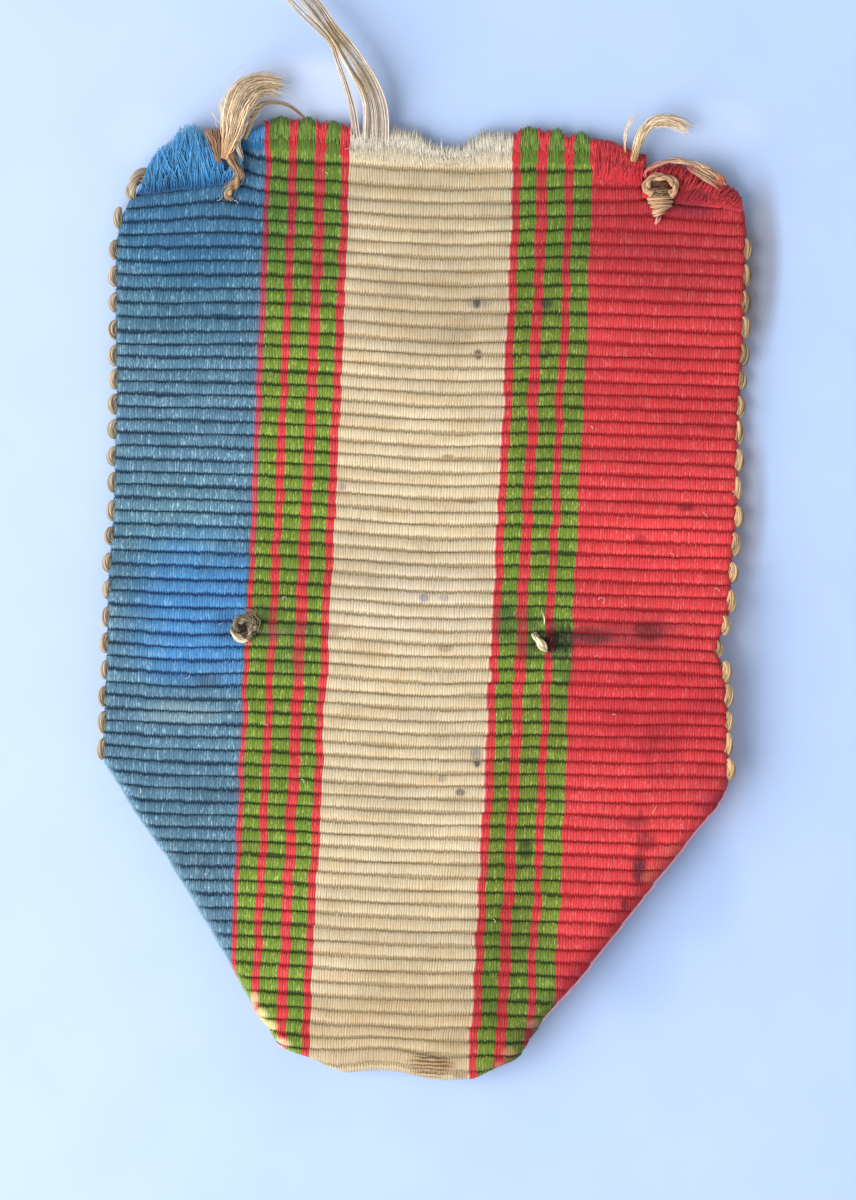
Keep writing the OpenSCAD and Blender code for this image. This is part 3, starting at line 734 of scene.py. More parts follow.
def rib_weave_group():
    """Where the grooves and the warp threads lie, from a place on the strip in millimetres."""
    results = ("Groove", "Gap", "Fleck", "Streak", "Rib", "Share", "Height")
    nodes, given, out = node_group("rib_weave", {"Strip": "Vector"}, dict.fromkeys(results, "Float"))
    strip = given["Strip"]
    x, y, _ = nodes.split(strip)

    def rough(across, along, detail=2.0, roughness=0.5):
        """Noise on the strip, the finer across and along it the larger these are."""
        return nodes.noise(nodes.scaled(strip, across, along), 1.0, detail, roughness)

    def chance(*cell):
        """A random value for each cell, from -0.5 to 0.5."""
        made = nodes.add("TexWhiteNoise", {"Vector": nodes.point(*cell)}, noise_dimensions="3D")
        return nodes.off_half(made["Value"])

    # The warp threads wander, and shift a little from rib to rib
    rough_rib = nodes.calc("FLOOR", nodes.calc("DIVIDE", y, RIB_PITCH))
    shifted = nodes.noise(nodes.point(nodes.times(x, 0.35), nodes.times(rough_rib, 5.7), 0.5), 1.0, 1.0)
    across = nodes.plus(x, nodes.times(rough(0.7, 0.4), 2 * MEAN_WANDER),
                        nodes.times(nodes.off_half(shifted), 0.36))
    count = nodes.calc("DIVIDE", across, THREAD_PITCH)
    number = nodes.calc("FLOOR", count)
    off_centre = nodes.minus(nodes.times(nodes.calc("FRACT", count), 2.0), 1.0)
    gap = nodes.times(off_centre, off_centre)
    # The grooves are ragged from thread to thread, wavy, and smudged in places
    down = nodes.plus(y, nodes.times(chance(number, 0.5, 0.5), 0.07),
                      nodes.times(nodes.off_half(rough(1.1, 0.8)), 0.1))
    ribs = nodes.calc("DIVIDE", down, RIB_PITCH)
    rib_number = nodes.calc("FLOOR", ribs)
    from_middle = nodes.calc("ABSOLUTE", nodes.off_half(nodes.calc("FRACT", ribs)))
    smudge = nodes.ranged(rough(0.35, 0.9, 3.0), 0.45, 0.75, 0.0, 0.05)
    groove = nodes.ranged(nodes.plus(from_middle, nodes.times(gap, 0.1), smudge), 0.4, 0.49)
    # The gaps between threads are uneven, and the painted shade in them grows stronger towards a groove
    gap = nodes.times(gap, nodes.ranged(rough(6.5, 1.1), 0.35, 0.62, 0.15, 1.0))
    gap_shade = nodes.times(gap, nodes.ranged(from_middle, 0.0, 0.42, 0.35, 1.0))
    # Each thread has its own shade and height on each rib, with fibres along it
    fleck = chance(number, rib_number, 3.5)
    along_rib = nodes.point(nodes.times(across, 0.9), nodes.times(rib_number, 3.7))
    fibres = rough(12.0, 3.2, 4.0, 0.65)
    share = nodes.plus(nodes.times(number, THREAD_PITCH), CLOTH_W / 2 + THREAD_PITCH / 2 - MEAN_WANDER)
    height = nodes.plus(nodes.times(nodes.minus(1.0, gap), 0.034), nodes.times(fleck, 0.03),
                        nodes.times(fibres, 0.03))
    for label, value in (
            ("Groove", groove),
            ("Gap", gap_shade),
            ("Fleck", nodes.plus(nodes.times(fleck, 0.3), nodes.times(nodes.off_half(fibres), 2.2))),
            ("Streak", nodes.off_half(nodes.noise(along_rib, 1.0, 4.0, 0.75))),
            ("Rib", chance(7.5, rib_number, 1.5)),
            ("Share", nodes.calc("DIVIDE", share, CLOTH_W)),
            ("Height", nodes.minus(height, nodes.times(groove, 0.05)))):
        nodes.give(out[label], value)
    return nodes.tree


def spot_group():
    """A soft-edged patch round a place in millimetres."""
    nodes, given, out = node_group(
        "spot", {"Place": "Vector", "Centre": "Vector", "Size": "Vector", "Strength": "Float"},
        {"Mask": "Float"})
    away = nodes.vector("SUBTRACT", given["Place"], given["Centre"])[0]
    away = nodes.vector("DIVIDE", away, given["Size"])[0]
    reach = nodes.add("VectorMath", {0: away}, operation="LENGTH")["Value"]
    nodes.give(out["Mask"], nodes.times(nodes.ranged(reach, 0.4, 1.0, 1.0, 0.0), given["Strength"]))
    return nodes.tree


def fibre_group():
    """Colour of a loose strand from its root to its tip, with each strand a little different."""
    nodes, given, out = node_group(
        "fibre", {"Root": "Color", "Tip": "Color", "Contrast": "Float", "Turn": "Float", "Dip Shade": "Float"},
        {"Color": "Color", "Height": "Float"})
    along, tint = (nodes.add("Attribute", attribute_name=label)["Fac"] for label in ("along", "tint"))
    colour = nodes.mixed(nodes.ranged(along, 0.0, given["Turn"]), given["Root"], given["Tip"])
    uneven = nodes.noise(nodes.local(), 2500.0)
    bright = nodes.around_one((nodes.times(nodes.off_half(tint), given["Contrast"]), 1.0),
                              (nodes.off_half(uneven), 0.5))
    # Painted shade on the strands of the raw end, in the dip where the last pick of weft has come out
    from_dip = nodes.calc("ABSOLUTE", nodes.minus(along, 0.57))
    dip_shade = nodes.times(nodes.ranged(from_dip, 0.02, 0.14, 1.0, 0.0), given["Dip Shade"])
    nodes.give(out["Color"], nodes.toned(colour, nodes.times(bright, nodes.minus(1.0, dip_shade))))
    nodes.give(out["Height"], uneven)
    return nodes.tree


weave_nodes = rib_weave_group()
spot_nodes = spot_group()
fibre_nodes = fibre_group()

# Display colours of some stains, and the marks on the front, mostly stains but with painted shade in the
# eyelet's hole:
# x, y, half width, half height, strength, colour
GREY_INK = (96, 92, 118)
DARK_INK = (48, 44, 52)
BROWN = (140, 104, 66)
TAN = (172, 140, 96)
STAINS = [
    (2.69, 17.83, 1.1, 0.5, 0.45, GREY_INK), (2.62, 17.78, 0.3, 0.45, 0.9, DARK_INK),
    (2.80, 14.77, 0.34, 0.42, 0.9, DARK_INK), (1.24, 8.71, 0.55, 0.16, 0.9, BROWN),
    (2.2, 8.62, 0.7, 0.14, 0.9, BROWN), (-4.94, 6.72, 0.35, 0.3, 0.6, GREY_INK),
    (2.45, 6.10, 0.9, 0.16, 0.75, BROWN), (0.12, 0.36, 0.4, 0.35, 0.75, GREY_INK),
    (1.29, 0.40, 0.4, 0.3, 0.45, GREY_INK), (-2.90, -2.81, 1.6, 1.1, 0.35, TAN),
    (1.46, -2.54, 0.7, 0.3, 0.7, BROWN), (-0.5, -1.9, 4.8, 0.7, 0.2, TAN),
    (3.44, -8.66, 0.45, 0.6, 0.6, GREY_INK), (3.57, -9.19, 0.28, 0.34, 0.95, DARK_INK),
    (1.55, -10.20, 0.35, 0.25, 0.5, GREY_INK), (2.63, -10.93, 0.4, 0.3, 0.8, DARK_INK),
    (6.7, 17.9, 0.5, 0.45, 0.9, DARK_INK), (6.68, 14.9, 0.5, 0.45, 0.6, DARK_INK),
    (4.87, -0.9, 0.9, 1.8, 0.6, (24, 66, 46)), (6.2, -1.6, 1.1, 2.2, 0.6, (28, 62, 40)),
    (8.45, -1.75, 0.9, 1.35, 1.1, (16, 38, 26)), (8.5, -3.6, 0.9, 1.4, 0.45, (40, 70, 40)),
    (7.68, -1.9, 0.75, 1.15, 1.2, (30, 10, 10)), (7.6, -0.95, 0.5, 0.5, 0.8, (104, 38, 40)),
    (6.95, -1.9, 0.7, 1.0, 0.7, (30, 34, 24)), (15.29, 6.25, 0.7, 0.4, 0.7, (96, 24, 34)),
    (12.71, 4.22, 0.5, 0.4, 0.6, (110, 30, 40)), (13.05, -12.33, 1.0, 0.5, 0.6, (110, 34, 46)),
    (13.55, -13.4, 0.9, 0.8, 0.85, (108, 30, 40)), (13.25, -15.0, 0.6, 1.35, 1.0, (54, 22, 36)),
    (12.46, -17.13, 0.3, 0.5, 0.85, (80, 26, 36)), (13.2, -11.9, 0.25, 0.5, 0.7, (110, 24, 36)),
    (14.2, -8.0, 1.6, 3.4, 0.3, (120, 26, 44)), (17.6, -11.0, 1.6, 0.8, 0.5, (130, 40, 70)),
    (13.78, -0.93, 1.6, 0.8, 0.5, (120, 40, 56)), (16.70, -5.37, 1.4, 1.6, 0.3, (140, 40, 50)),
    (17.02, -9.48, 1.2, 1.4, 0.3, (130, 36, 50)), (11.9, -1.45, 3.9, 0.8, 0.8, (128, 46, 52)),
    (9.9, -1.55, 1.7, 0.75, 1.1, (92, 38, 42)), (13.3, -1.1, 1.2, 0.85, 0.95, (98, 28, 32)),
    (13.3, -2.1, 1.6, 0.5, 0.4, (130, 34, 44)), (13.93, -15.49, 0.75, 0.75, 0.6, (190, 104, 78)),
    (15.17, -13.85, 0.9, 0.6, 0.5, (200, 108, 86)), (14.6, -14.7, 0.8, 0.8, 0.5, (180, 84, 70)),
    (6.58, -14.1, 0.6, 0.8, 0.8, (34, 54, 28)), (-8.95, -23.42, 0.32, 0.7, 0.8, (236, 196, 150)),
    (-8.57, -24.35, 0.55, 0.55, 0.9, (228, 204, 152)), (-8.07, -24.98, 0.7, 0.5, 0.9, (226, 206, 150)),
    (-7.33, -25.95, 0.8, 0.42, 0.9, (226, 202, 160)), (7.40, -24.38, 0.5, 0.45, 0.9, (196, 158, 118)),
    (5.99, -26.08, 0.55, 0.5, 0.85, (206, 164, 116)), (5.54, -26.80, 0.45, 0.3, 0.8, (214, 150, 112)),
    (-9.2, -1.5, 1.3, 1.7, 0.65, (48, 70, 46)), (-7.0, -1.75, 1.5, 0.85, 0.6, (34, 66, 50)),
    (-5.4, -1.85, 0.8, 0.6, 0.55, (112, 40, 56)), (-12.35, -4.95, 1.1, 0.6, 0.65, (66, 78, 90)),
    (-8.6, -2.0, 0.9, 0.6, 0.4, (110, 80, 84)), (-11.4, -1.6, 1.1, 1.2, 0.5, (40, 66, 110)),
    (-10.05, 13.0, 0.4, 15.0, 0.4, (148, 84, 116)), (-10.3, -12.0, 0.35, 9.0, 0.3, (148, 84, 116)),
    (-7.4, -3.6, 2.0, 1.6, 0.4, (34, 84, 50)), (-14.0, -6.9, 3.2, 1.0, 0.55, (128, 150, 158)),
    (-13.3, -5.0, 2.2, 0.6, 0.35, (40, 74, 116)), (-14.5, -20.0, 5.0, 5.0, 0.3, (92, 106, 126)),
    (-4.6, -1.6, 0.6, 0.3, 0.5, (150, 120, 90)), (2.2, -26.9, 0.9, 0.6, 0.7, BROWN),
    # In the next line, the second row is painted shade in the eyelet's hole, and the line after it darkens
    # the red right of the eyelet
    (3.2, -27.4, 0.7, 0.4, 0.7, BROWN), (13.1, 24.95, 0.6, 0.5, 1.0, (70, 34, 26)),
    (15.3, 24.2, 1.9, 0.7, 0.65, (112, 18, 42)), (14.9, 23.65, 2.1, 0.75, 0.6, (118, 28, 58)),
]
# Larger parts of the front that are darker or lighter than the rest, partly from fading and soiling and
# partly painted light and shade for how the uneven cloth faces the lamp: x, y, half width, half height,
# and what they let through of red, green and blue
SOILING_AND_PAINTED_LIGHT = [(-14.5, 22.5, 8, 6, (0.5, 0.75, 0.95)), (-14, 17, 6, 4, (0.76, 0.89, 0.92)),
          (-7.6, 22, 3.6, 7, (0.7, 0.78, 0.83)), (6.7, 23, 3.8, 6, (0.78, 0.87, 0.84)),
          (6.2, -21.8, 3.4, 5, (0.76, 0.82, 0.8)),
          (0.5, 18, 7, 5, (0.82, 0.8, 0.78)), (0, 24, 7, 3, (0.83, 0.83, 0.81)),
          (14, 22, 8, 6, (0.71, 0.66, 0.72)), (14, 12, 7, 5, (0.88, 0.77, 0.78)),
          (14, -5.6, 8, 4.5, (0.9, 0.7, 0.77)), (0, -19, 8, 4, (0.9, 0.88, 0.86)),
          (0, -25, 9, 5, (0.83, 0.78, 0.72)), (-12, -14.5, 5, 4, (0.94, 0.92, 0.9)),
          (-14.5, 4.2, 5, 4, (1.2, 1.18, 1.1)), (14, 3.0, 7, 4, (1.17, 1.15, 1.1)),
          (11.5, -12.0, 6, 4, (1.1, 1.16, 1.12)), (-0.5, -0.2, 6, 3.5, (1.12, 1.15, 1.24)),
          (-13.0, -7.5, 5, 3, (1.1, 1.08, 1.06)), (5.4, -17.0, 2.6, 8, (0.84, 0.86, 0.84)),
          (6.8, 14, 3.5, 12, (0.86, 0.81, 0.85)), (6.5, -14, 3.5, 12, (0.98, 0.86, 0.86))]
# Painted light and painted shadow on the floor: places lighter or darker than the rest of the shadow,
# given as the front's patches are
FLOOR_PATCHES = [(-7.5, 29.8, 5.5, 3.0, (1.36, 1.25, 1.15)), (16.2, 28.6, 4.0, 2.4, (1.12, 1.09, 1.06)),
                 (-17.2, 27.0, 3.0, 2.6, (1.06, 1.04, 1.02)), (19.2, 20.5, 1.6, 6.5, (0.7, 0.61, 0.54)),
                 (19.1, 6.5, 1.3, 5.5, (0.82, 0.74, 0.7)),
                 (16.9, -16.0, 3.4, 4.5, (0.9, 0.93, 0.96)), (13.6, -20.4, 3.4, 4.5, (0.9, 0.93, 0.96))]
# Where the blue has kept its strength: y from none of it to all of it above and below, and x likewise
FRESH_ABOVE = (6.8, 2.2)
FRESH_BELOW = (-4.4, -1.6)
FRESH_INWARD = (-17.6, -13.4)
# The cream stripe across the strip, and where the broad red one starts
CREAM_MIDDLE = -0.39
CREAM_HALF = 4.78
RED_START = 9.2
# The fold of the right tucked corner, whose last millimetre has grime and painted shade where it curves
# over: its upper and lower end
RIGHT_FOLD = ((17.85, -11.5), (8.2, -23.9))
# Crumpled place at the bottom fold: x, y, half width, half height
CRUMPLE = (1.5, -26.95, 1.6, 1.05)


def cloth_material():
    """The striped ribbed silk, faded, soiled and stained, with painted shade in its grooves and creases
    and painted light and shade over the front.
    """
    material, nodes, shader = new_material("striped_silk", roughness=0.62, sheen=0.07, specular=0.18)
    strip = nodes.add("Mapping", {"Vector": nodes.add("UVMap", uv_map="strip")["UV"],
                                  "Location": (-UV_SPAN / 2, 0, 0), "Scale": (UV_SPAN, UV_SPAN, 1)})[0]
    spot = nodes.ribbon_place()
    weave = nodes.add("Group", {"Strip": strip}, node_tree=weave_nodes)
    fleck = weave["Fleck"]
    # Ramps of the rib colour, the lightest threads, and the painted shade in the grooves
    rib, light, dark = (nodes.colour_steps(weave["Share"], stripe_steps(tone)) for tone in range(3))
    across = nodes.split(strip)[0]
    up = nodes.split(spot)[1]
    cloudy = nodes.noise(nodes.scaled(spot, 0.28, 0.5), 1.0, 4.0, 0.6)
    # The blue that kept its strength round the seam
    ragged = nodes.plus(up, nodes.times(cloudy, 3.4))
    inward = nodes.ranged(nodes.plus(across, nodes.times(cloudy, 1.5)), *FRESH_INWARD)
    in_blue = nodes.calc("LESS_THAN", weave["Share"], (STRIPES[1][0] + CLOTH_W / 2) / CLOTH_W)
    fresh = nodes.times(nodes.ranged(ragged, *FRESH_ABOVE), nodes.ranged(ragged, *FRESH_BELOW),
                        nodes.times(inward, in_blue))
    rib, light, dark = (nodes.mixed(fresh, faded, linear(*strong))
                        for faded, strong in zip((rib, light, dark), FRESH_BLUE))
    # Threads, ribs and streaks of lighter and darker silk, with painted shade in the gaps between threads,
    # and with the least contrast on the cream
    off_cream = nodes.calc("ABSOLUTE", nodes.minus(across, CREAM_MIDDLE))
    in_cream = nodes.calc("LESS_THAN", off_cream, CREAM_HALF)
    in_red = nodes.calc("GREATER_THAN", across, RED_START)
    contrast = nodes.minus(nodes.minus(1.0, nodes.times(in_cream, 0.72)), nodes.times(in_red, 0.5))
    darkest = nodes.plus(nodes.ranged(fleck, -0.1, -0.5, 0.0, 0.32),
                         nodes.ranged(weave["Gap"], 0.25, 0.9, 0.0, 0.42))
    colour = nodes.mixed(nodes.ranged(fleck, 0.0, 0.5, 0.0, 0.9), rib, light)
    colour = nodes.mixed(nodes.times(darkest, contrast), colour, dark)
    colour = nodes.toned(colour, nodes.around_one((weave["Streak"], 0.32), (weave["Rib"], 0.12)))
    # Tan discolouring of the cream, grime and stains, and patches of fading, soiling and painted light and
    # shade over all of it
    patchy = nodes.noise(nodes.scaled(spot, 0.3, 1.3), 1.0, 5.0, 0.62)
    tanned = nodes.times(nodes.ranged(patchy, 0.44, 0.72, 0.0, 0.55), in_cream)
    colour = nodes.mixed(tanned, colour, linear(196, 164, 118))
    grime = nodes.ranged(cloudy, 0.42, 0.75, 0.0, 0.2)
    colour = nodes.mixed(grime, colour, linear(104, 88, 66), "MULTIPLY")
    mottled = nodes.noise(nodes.scaled(spot, 2.2, 3.0), 1.0, 3.0)
    blotchy = nodes.times(nodes.ranged(fleck, -0.6, 0.5, 1.0, 0.7),
                          nodes.ranged(mottled, 0.3, 0.6, 0.8, 1.0))
    for x, y, w, h, strength, stain in STAINS:
        mask = nodes.spot_mask(spot, x, y, w, h, strength)
        colour = nodes.mixed(nodes.times(mask, blotchy), colour, linear(*stain))
    # Patches that are partly fading and soiling and partly painted light and shade
    colour = nodes.patched(spot, colour, SOILING_AND_PAINTED_LIGHT)
    # A tan tint over the crumpled place at the bottom fold, and painted shade in the creases between its
    # pleats, which the bump also sinks
    crumpled = nodes.spot_mask(spot, *CRUMPLE)
    bent = nodes.noise(nodes.scaled(spot, 1.2, 2.0))
    pleats = nodes.calc("SINE", nodes.plus(nodes.times(up, 26.0), nodes.times(bent, 9.0)))
    pleats = nodes.times(crumpled, nodes.ranged(pleats, -0.2, 0.9))
    colour = nodes.mixed(nodes.times(crumpled, 0.35), colour, linear(176, 138, 88))
    colour = nodes.mixed(nodes.times(pleats, 0.85), colour, linear(96, 62, 30))
    # Painted shade down in the grooves, fainter round the tucked corners where the ribs flatten; the red
    # darkened towards purple by grime and painted shade near the right fold; and a painted pale highlight
    # along the folded edges
    rim = nodes.add("Attribute", attribute_name="rim")["Fac"]
    on_right = nodes.calc("GREATER_THAN", across, 0.0)
    (top_x, top_y), (low_x, low_y) = RIGHT_FOLD
    run = math.hypot(low_x - top_x, low_y - top_y)
    inward_way = ((low_y - top_y) / run, (top_x - low_x) / run, 0)
    off_fold = nodes.vector("SUBTRACT", spot, (top_x, top_y, 0))[0]
    off_fold = nodes.vector("DOT_PRODUCT", off_fold, inward_way)["Value"]
    # Grime and painted shade in the last millimetre before the right fold, where the cloth curves over
    grime_and_fold_shade = nodes.times(nodes.ranged(off_fold, 1.5, 0.15), nodes.ranged(rim, 1.1, 0.9),
                        nodes.ranged(cloudy, 0.3, 0.6, 0.45, 0.9))
    # Painted shade down in each groove, fainter towards the rim of a tucked corner
    groove_shade = nodes.times(weave["Groove"], nodes.ranged(rim, 0.1, 1.0, 0.85, 0.2))
    colour = nodes.mixed(groove_shade, colour, dark)
    colour = nodes.mixed(nodes.times(grime_and_fold_shade, on_right), colour, (0.48, 0.3, 0.46), "MULTIPLY")
    # Painted pale highlight along the folded edges of the tucked corners, pink on the right and pale
    # grey-blue on the left
    edge_highlight = nodes.times(nodes.ranged(rim, 0.88, 1.06), on_right)
    colour = nodes.mixed(nodes.times(edge_highlight, 0.8), colour, linear(236, 182, 198))
    edge_highlight = nodes.times(nodes.ranged(rim, 0.7, 1.3), nodes.minus(1.0, on_right))
    colour = nodes.mixed(nodes.times(edge_highlight, 0.4), colour, linear(168, 186, 200))
    nodes.give(shader["Base Color"], colour)
    nodes.give(shader["Roughness"], nodes.ranged(fleck, -0.5, 0.5, 0.7, 0.52))
    height = nodes.minus(weave["Height"], nodes.times(pleats, 0.12))
    nodes.give(shader["Normal"], nodes.bump(height, 0.8, MM))
    return material


def fibre_material(name, root, tip, contrast=0.5, turn=1.0, dip_shade=0.0, patches=()):
    """Loose strands with a display colour at the root and one at the tip, and patches as in SOILING_AND_PAINTED_LIGHT."""
    material, nodes, shader = new_material(name, roughness=0.62, sheen=0.1, specular=0.2)
    strand = nodes.add("Group", {"Root": (*linear(*root), 1), "Tip": (*linear(*tip), 1),
                                 "Contrast": contrast, "Turn": turn, "Dip Shade": dip_shade}, node_tree=fibre_nodes)
    colour = strand["Color"]
    if patches:
        colour = nodes.patched(nodes.ribbon_place(), colour, patches)
    nodes.give(shader["Base Color"], colour)
    nodes.give(shader["Normal"], nodes.bump(strand["Height"], 0.5, 0.02 * MM))
    return material


def add_piece(name, mesh, material, slot, *nodes):
    """A finished piece on the ribbon's one body, in place of its CAD nodes."""
    piece = bpy.data.objects.new(name, mesh)
    bpy.context.scene.collection.objects.link(piece)
    mesh.materials.clear()
    mesh.materials.append(material)
    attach(piece, "root")
    if nodes:
        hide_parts(*nodes)
    return piece


def add_strands(name, routes, material, slot, *nodes):
    """A finished piece made of strands."""
    return add_piece(name, make_strands(name, routes), material, slot, *nodes)


# Cloth and its frayed ends

cloth = add_piece("ribbon_cloth", make_cloth(), cloth_material(), "striped_silk", "woven_ribbon")

# Warp ends of each colour: root and tip colour, contrast, how much painted shade lies in the dip where the
# last pick of weft has come out, number a millimetre, and spread of their lengths
# Each root colour is darker than its tip as painted shade where the strands leave the cloth
SILK_ENDS = {
    "blue": ((36, 104, 160), (92, 168, 220), 0.55, 0.0, 150, 0.05),
    "green": ((84, 112, 36), (108, 136, 58), 0.55, 0.4, 150, 0.05),
    "red": ((190, 42, 52), (208, 64, 70), 0.3, 0.35, 150, 0.05),
    "cream": ((200, 187, 162), (211, 203, 188), 0.3, 0.12, 250, 0.17),
}
ENDS_PATCHES = {
    "blue": [(-16.2, 24.0, 3.2, 1.1, (0.8, 0.78, 0.78)), (-14.3, 27.5, 1.6, 1.1, (1.1, 0.95, 0.86))],
    "red": [(14.9, 24.3, 1.9, 0.75, (0.56, 0.34, 0.6)), (13.9, 26.3, 1.2, 0.5, (0.8, 0.55, 0.6)),
            (11.9, 25.6, 0.7, 0.8, (0.85, 0.6, 0.7)), (17.4, 24.4, 1.5, 1.3, (0.8, 0.6, 0.72))],
}
# Strands of the loose last rib, from its groove over its crest to the tips: share of the length, height
LOOSE_RIB = [(0.0, 0.86), (0.15, 1.0), (0.3, 1.05), (0.42, 0.98), (0.5, 0.88), (0.6, 0.98), (0.8, 1.04),
             (1.0, 0.8)]
LOOSE_RIB_Y = 25.7
ON_TOP_SHARE = 0.65
BROKEN_SHARE = 0.4


def raw_end_routes(start, end, colour):
    """Warp ends of one stripe along the raw end."""
    routes = []
    *_, per_mm, uneven = SILK_ENDS[colour]
    tufted = {"green": 0.14, "red": -0.12 if end < RED_CORNER_X + 0.1 else 0.0}.get(colour, 0.0)
    t, crest = np.array(LOOSE_RIB).T
    thin = 0.7 if colour == "cream" else 1.0
    for _ in range(round((end - start) * per_mm)):
        x = rng.uniform(start, end)
        # Most strands start on top of the loose rib, and the others fill the space below them
        on_top = rng.random() < ON_TOP_SHARE
        layer = 1.0 if on_top else rng.random()
        root_y = LOOSE_RIB_Y if on_top else TOP_Y
        root_y += float(shift_along(x, root_y)) - float(shift_along(0, root_y))
        tip_y = between(WARP_TIPS, x) + rng.normal(0, uneven)
        tip_y += tufted * (1 - 2 * ((2 * x - start - end) / (end - start)) ** 2)
        if rng.random() < BROKEN_SHARE:
            tip_y -= rng.uniform(0.0, 0.7)
        tip_y = max(tip_y, root_y + 0.3)
        sway = rng.normal(0, 0.035) + 0.06 * math.sin(2.1 * x)
        sunk = rng.uniform(0, 0.06) if on_top else 0.0
        height = crest - sunk if on_top else blend(layer, 0.1, crest - 0.1)
        wave = 0.015 * np.sin(7 * t + 9 * rng.random())
        width = thin * rng.uniform(0.028, 0.042) * (1 - (1.1 - 0.7 * thin) * t ** 3)
        routes.append(np.c_[x + sway * t ** 2 + wave, blend(t, root_y, tip_y), height, width])
    return routes


fringe = {colour: [] for colour in SILK_ENDS}
for (start, colour), (end, _) in zip(STRIPES, STRIPES[1:] + [(RIGHT_CORNER_X, None)]):
    start = max(start, LEFT_CORNER_X)
    if end > start:
        fringe[colour] += raw_end_routes(start, end, colour)
fringe["blue"] += fan(FLUFF_ROOTS, FLUFF_TIPS, 3200, 0.027, ((0.25, 1.0), (0.2, 1.7)), 0.4, 30,
                      mix=0.06, curl=0.18, lengths=(0.3, 1.04), spread=1.0)
fringe["red"] += fan(LOBE_ROOTS, LOBE_TIPS, 2250, 0.046, ((0.25, 1.0), (0.15, 1.25)), 0.35, 26,
                     mix=0.02, curl=0.06, lengths=(0.5, 1.0), spread=1.3)
fringe["red"] += fan(RED_CORNER_ROOTS, RED_CORNER_TIPS, 420, 0.036, ((0.92, 1.05), (0.7, 1.15)), 0.12, 12,
                     mix=0.02, curl=0.04, lengths=(0.75, 1.02), spread=1.3)
for colour, routes in fringe.items():
    root, tip, contrast, dip_shade, *_ = SILK_ENDS[colour]
    material = fibre_material(colour + "_silk_ends", root, tip, contrast, dip_shade=dip_shade,
                              patches=ENDS_PATCHES.get(colour, ()))
    add_strands(colour + "_warp_ends", routes, material, "striped_silk")

# Weft loops

LOOP_R = 0.34
# Half length of a loop on each side, of the short ones in the drawn-in edge, and of the tail's
LOOP_HALF = {-1: 0.44, 1: 0.53}
SHORT_LOOP_HALF = 0.34
TAIL_LOOP_HALF = 0.54
# Where the right edge is drawn in at the seam
DRAWN_IN = (-2.7, -1.0)


def loop_rows(x, y, side, height, half_length, out):
    """One loop of weft cord between two ribs of a selvedge."""
    rows = []
    for a in np.linspace(-1, 1, 9):
        bulge = math.cos(a * math.pi / 2)
        rows.append((x + side * (out * (0.2 + 0.8 * bulge) - 0.1),
                     y + half_length * math.sin(a * math.pi / 2),
                     height + 0.1 * bulge, LOOP_R * (0.6 + 0.4 * bulge)))
    return rows


def selvedge_loops(side, loops):
    """All loops down one selvedge."""
    routes = []
    for k in range(loops[-1][0] + 1):
        y = between(loops, k) + rng.normal(0, 0.03)
        x = float(between(EDGES[side], y))
        short = side > 0 and DRAWN_IN[0] < y < DRAWN_IN[1]
        height = float(drape(y)) + 0.2 - float(dip_at(x, y))
        half_length = (SHORT_LOOP_HALF if short else LOOP_HALF[side]) + rng.normal(0, 0.04)
        out = between(LOOP_OUT[side], y) * (0.6 if short else 1.0) + rng.normal(0, 0.045)
        rows = loop_rows(x, y, side, height, half_length, out)
        routes += yarn(rows, 11, 0.22 * side, filaments=8, ply_gap=0.4, filament_r=0.22)
    return routes


def tail_loops(side):
    """The few loops of the tail that lie behind one selvedge."""
    first, spacing, number = TAIL_LOOPS
    routes = []
    for k in range(number):
        y = first - spacing * k
        x = float(between(EDGES[side], y)) - side * TAIL_INSET
        rows = loop_rows(x, y, side, TAIL_Z, TAIL_LOOP_HALF, between(LOOP_OUT[side], y))
        routes += yarn(rows, 9, 0.5 * side, filaments=5, ply_gap=0.42, filament_r=0.24)
    return routes


left_loops = selvedge_loops(-1, LEFT_LOOPS) + tail_loops(-1) + yarn(BIG_LOOP, 22, 0.7, filaments=8)
right_loops = selvedge_loops(1, RIGHT_LOOPS) + tail_loops(1)
grey_tan = fibre_material("grey_tan_weft_cord", (152, 139, 118), (176, 158, 134), 0.6)
# The right cord, with its upper loops darkened as painted shade
tan_cord = fibre_material("tan_weft_cord", (154, 128, 94), (192, 160, 120), 0.9,
                          patches=[(18.5, 18.0, 4.0, 9.0, (0.62, 0.62, 0.66))])
add_strands("left_weft_cord", left_loops, grey_tan, "weft_cord", "left_weft_loops")
add_strands("right_weft_cord", right_loops, tan_cord, "weft_cord", "right_weft_loops")

# Sewing threads

golden = fibre_material("golden_tan_thread", (182, 142, 102), (236, 212, 178), 0.9, turn=0.5)
brown = fibre_material("brown_thread", (150, 118, 88), (170, 140, 108), 0.9)
dark_brown = fibre_material("dark_brown_fibres", (118, 88, 70), (146, 112, 90), 0.9)
grey_brown = fibre_material("grey_brown_fibres", (190, 166, 134), (146, 124, 106), 0.5)
beige = fibre_material("beige_thread", (184, 146, 112), (190, 154, 120), 0.6)
rosy = fibre_material("rosy_thread", (170, 84, 80), (186, 152, 122), 0.8, turn=0.5,
                      patches=[(16.8, 25.2, 0.8, 0.8, (1.05, 0.55, 0.5))])
pink = fibre_material("pink_thread", (222, 140, 128), (226, 160, 146), 0.4)
pale = fibre_material("pale_thread", (222, 208, 188), (206, 186, 154), 0.5)
loose_pale = fibre_material("pale_loose_thread", (204, 190, 178), (206, 194, 178), 0.9,
                            patches=[(-6.1, 33.0, 1.2, 1.4, (0.84, 0.74, 0.54)),
                                     (-4.6, 30.4, 1.0, 1.4, (0.88, 0.8, 0.62))])
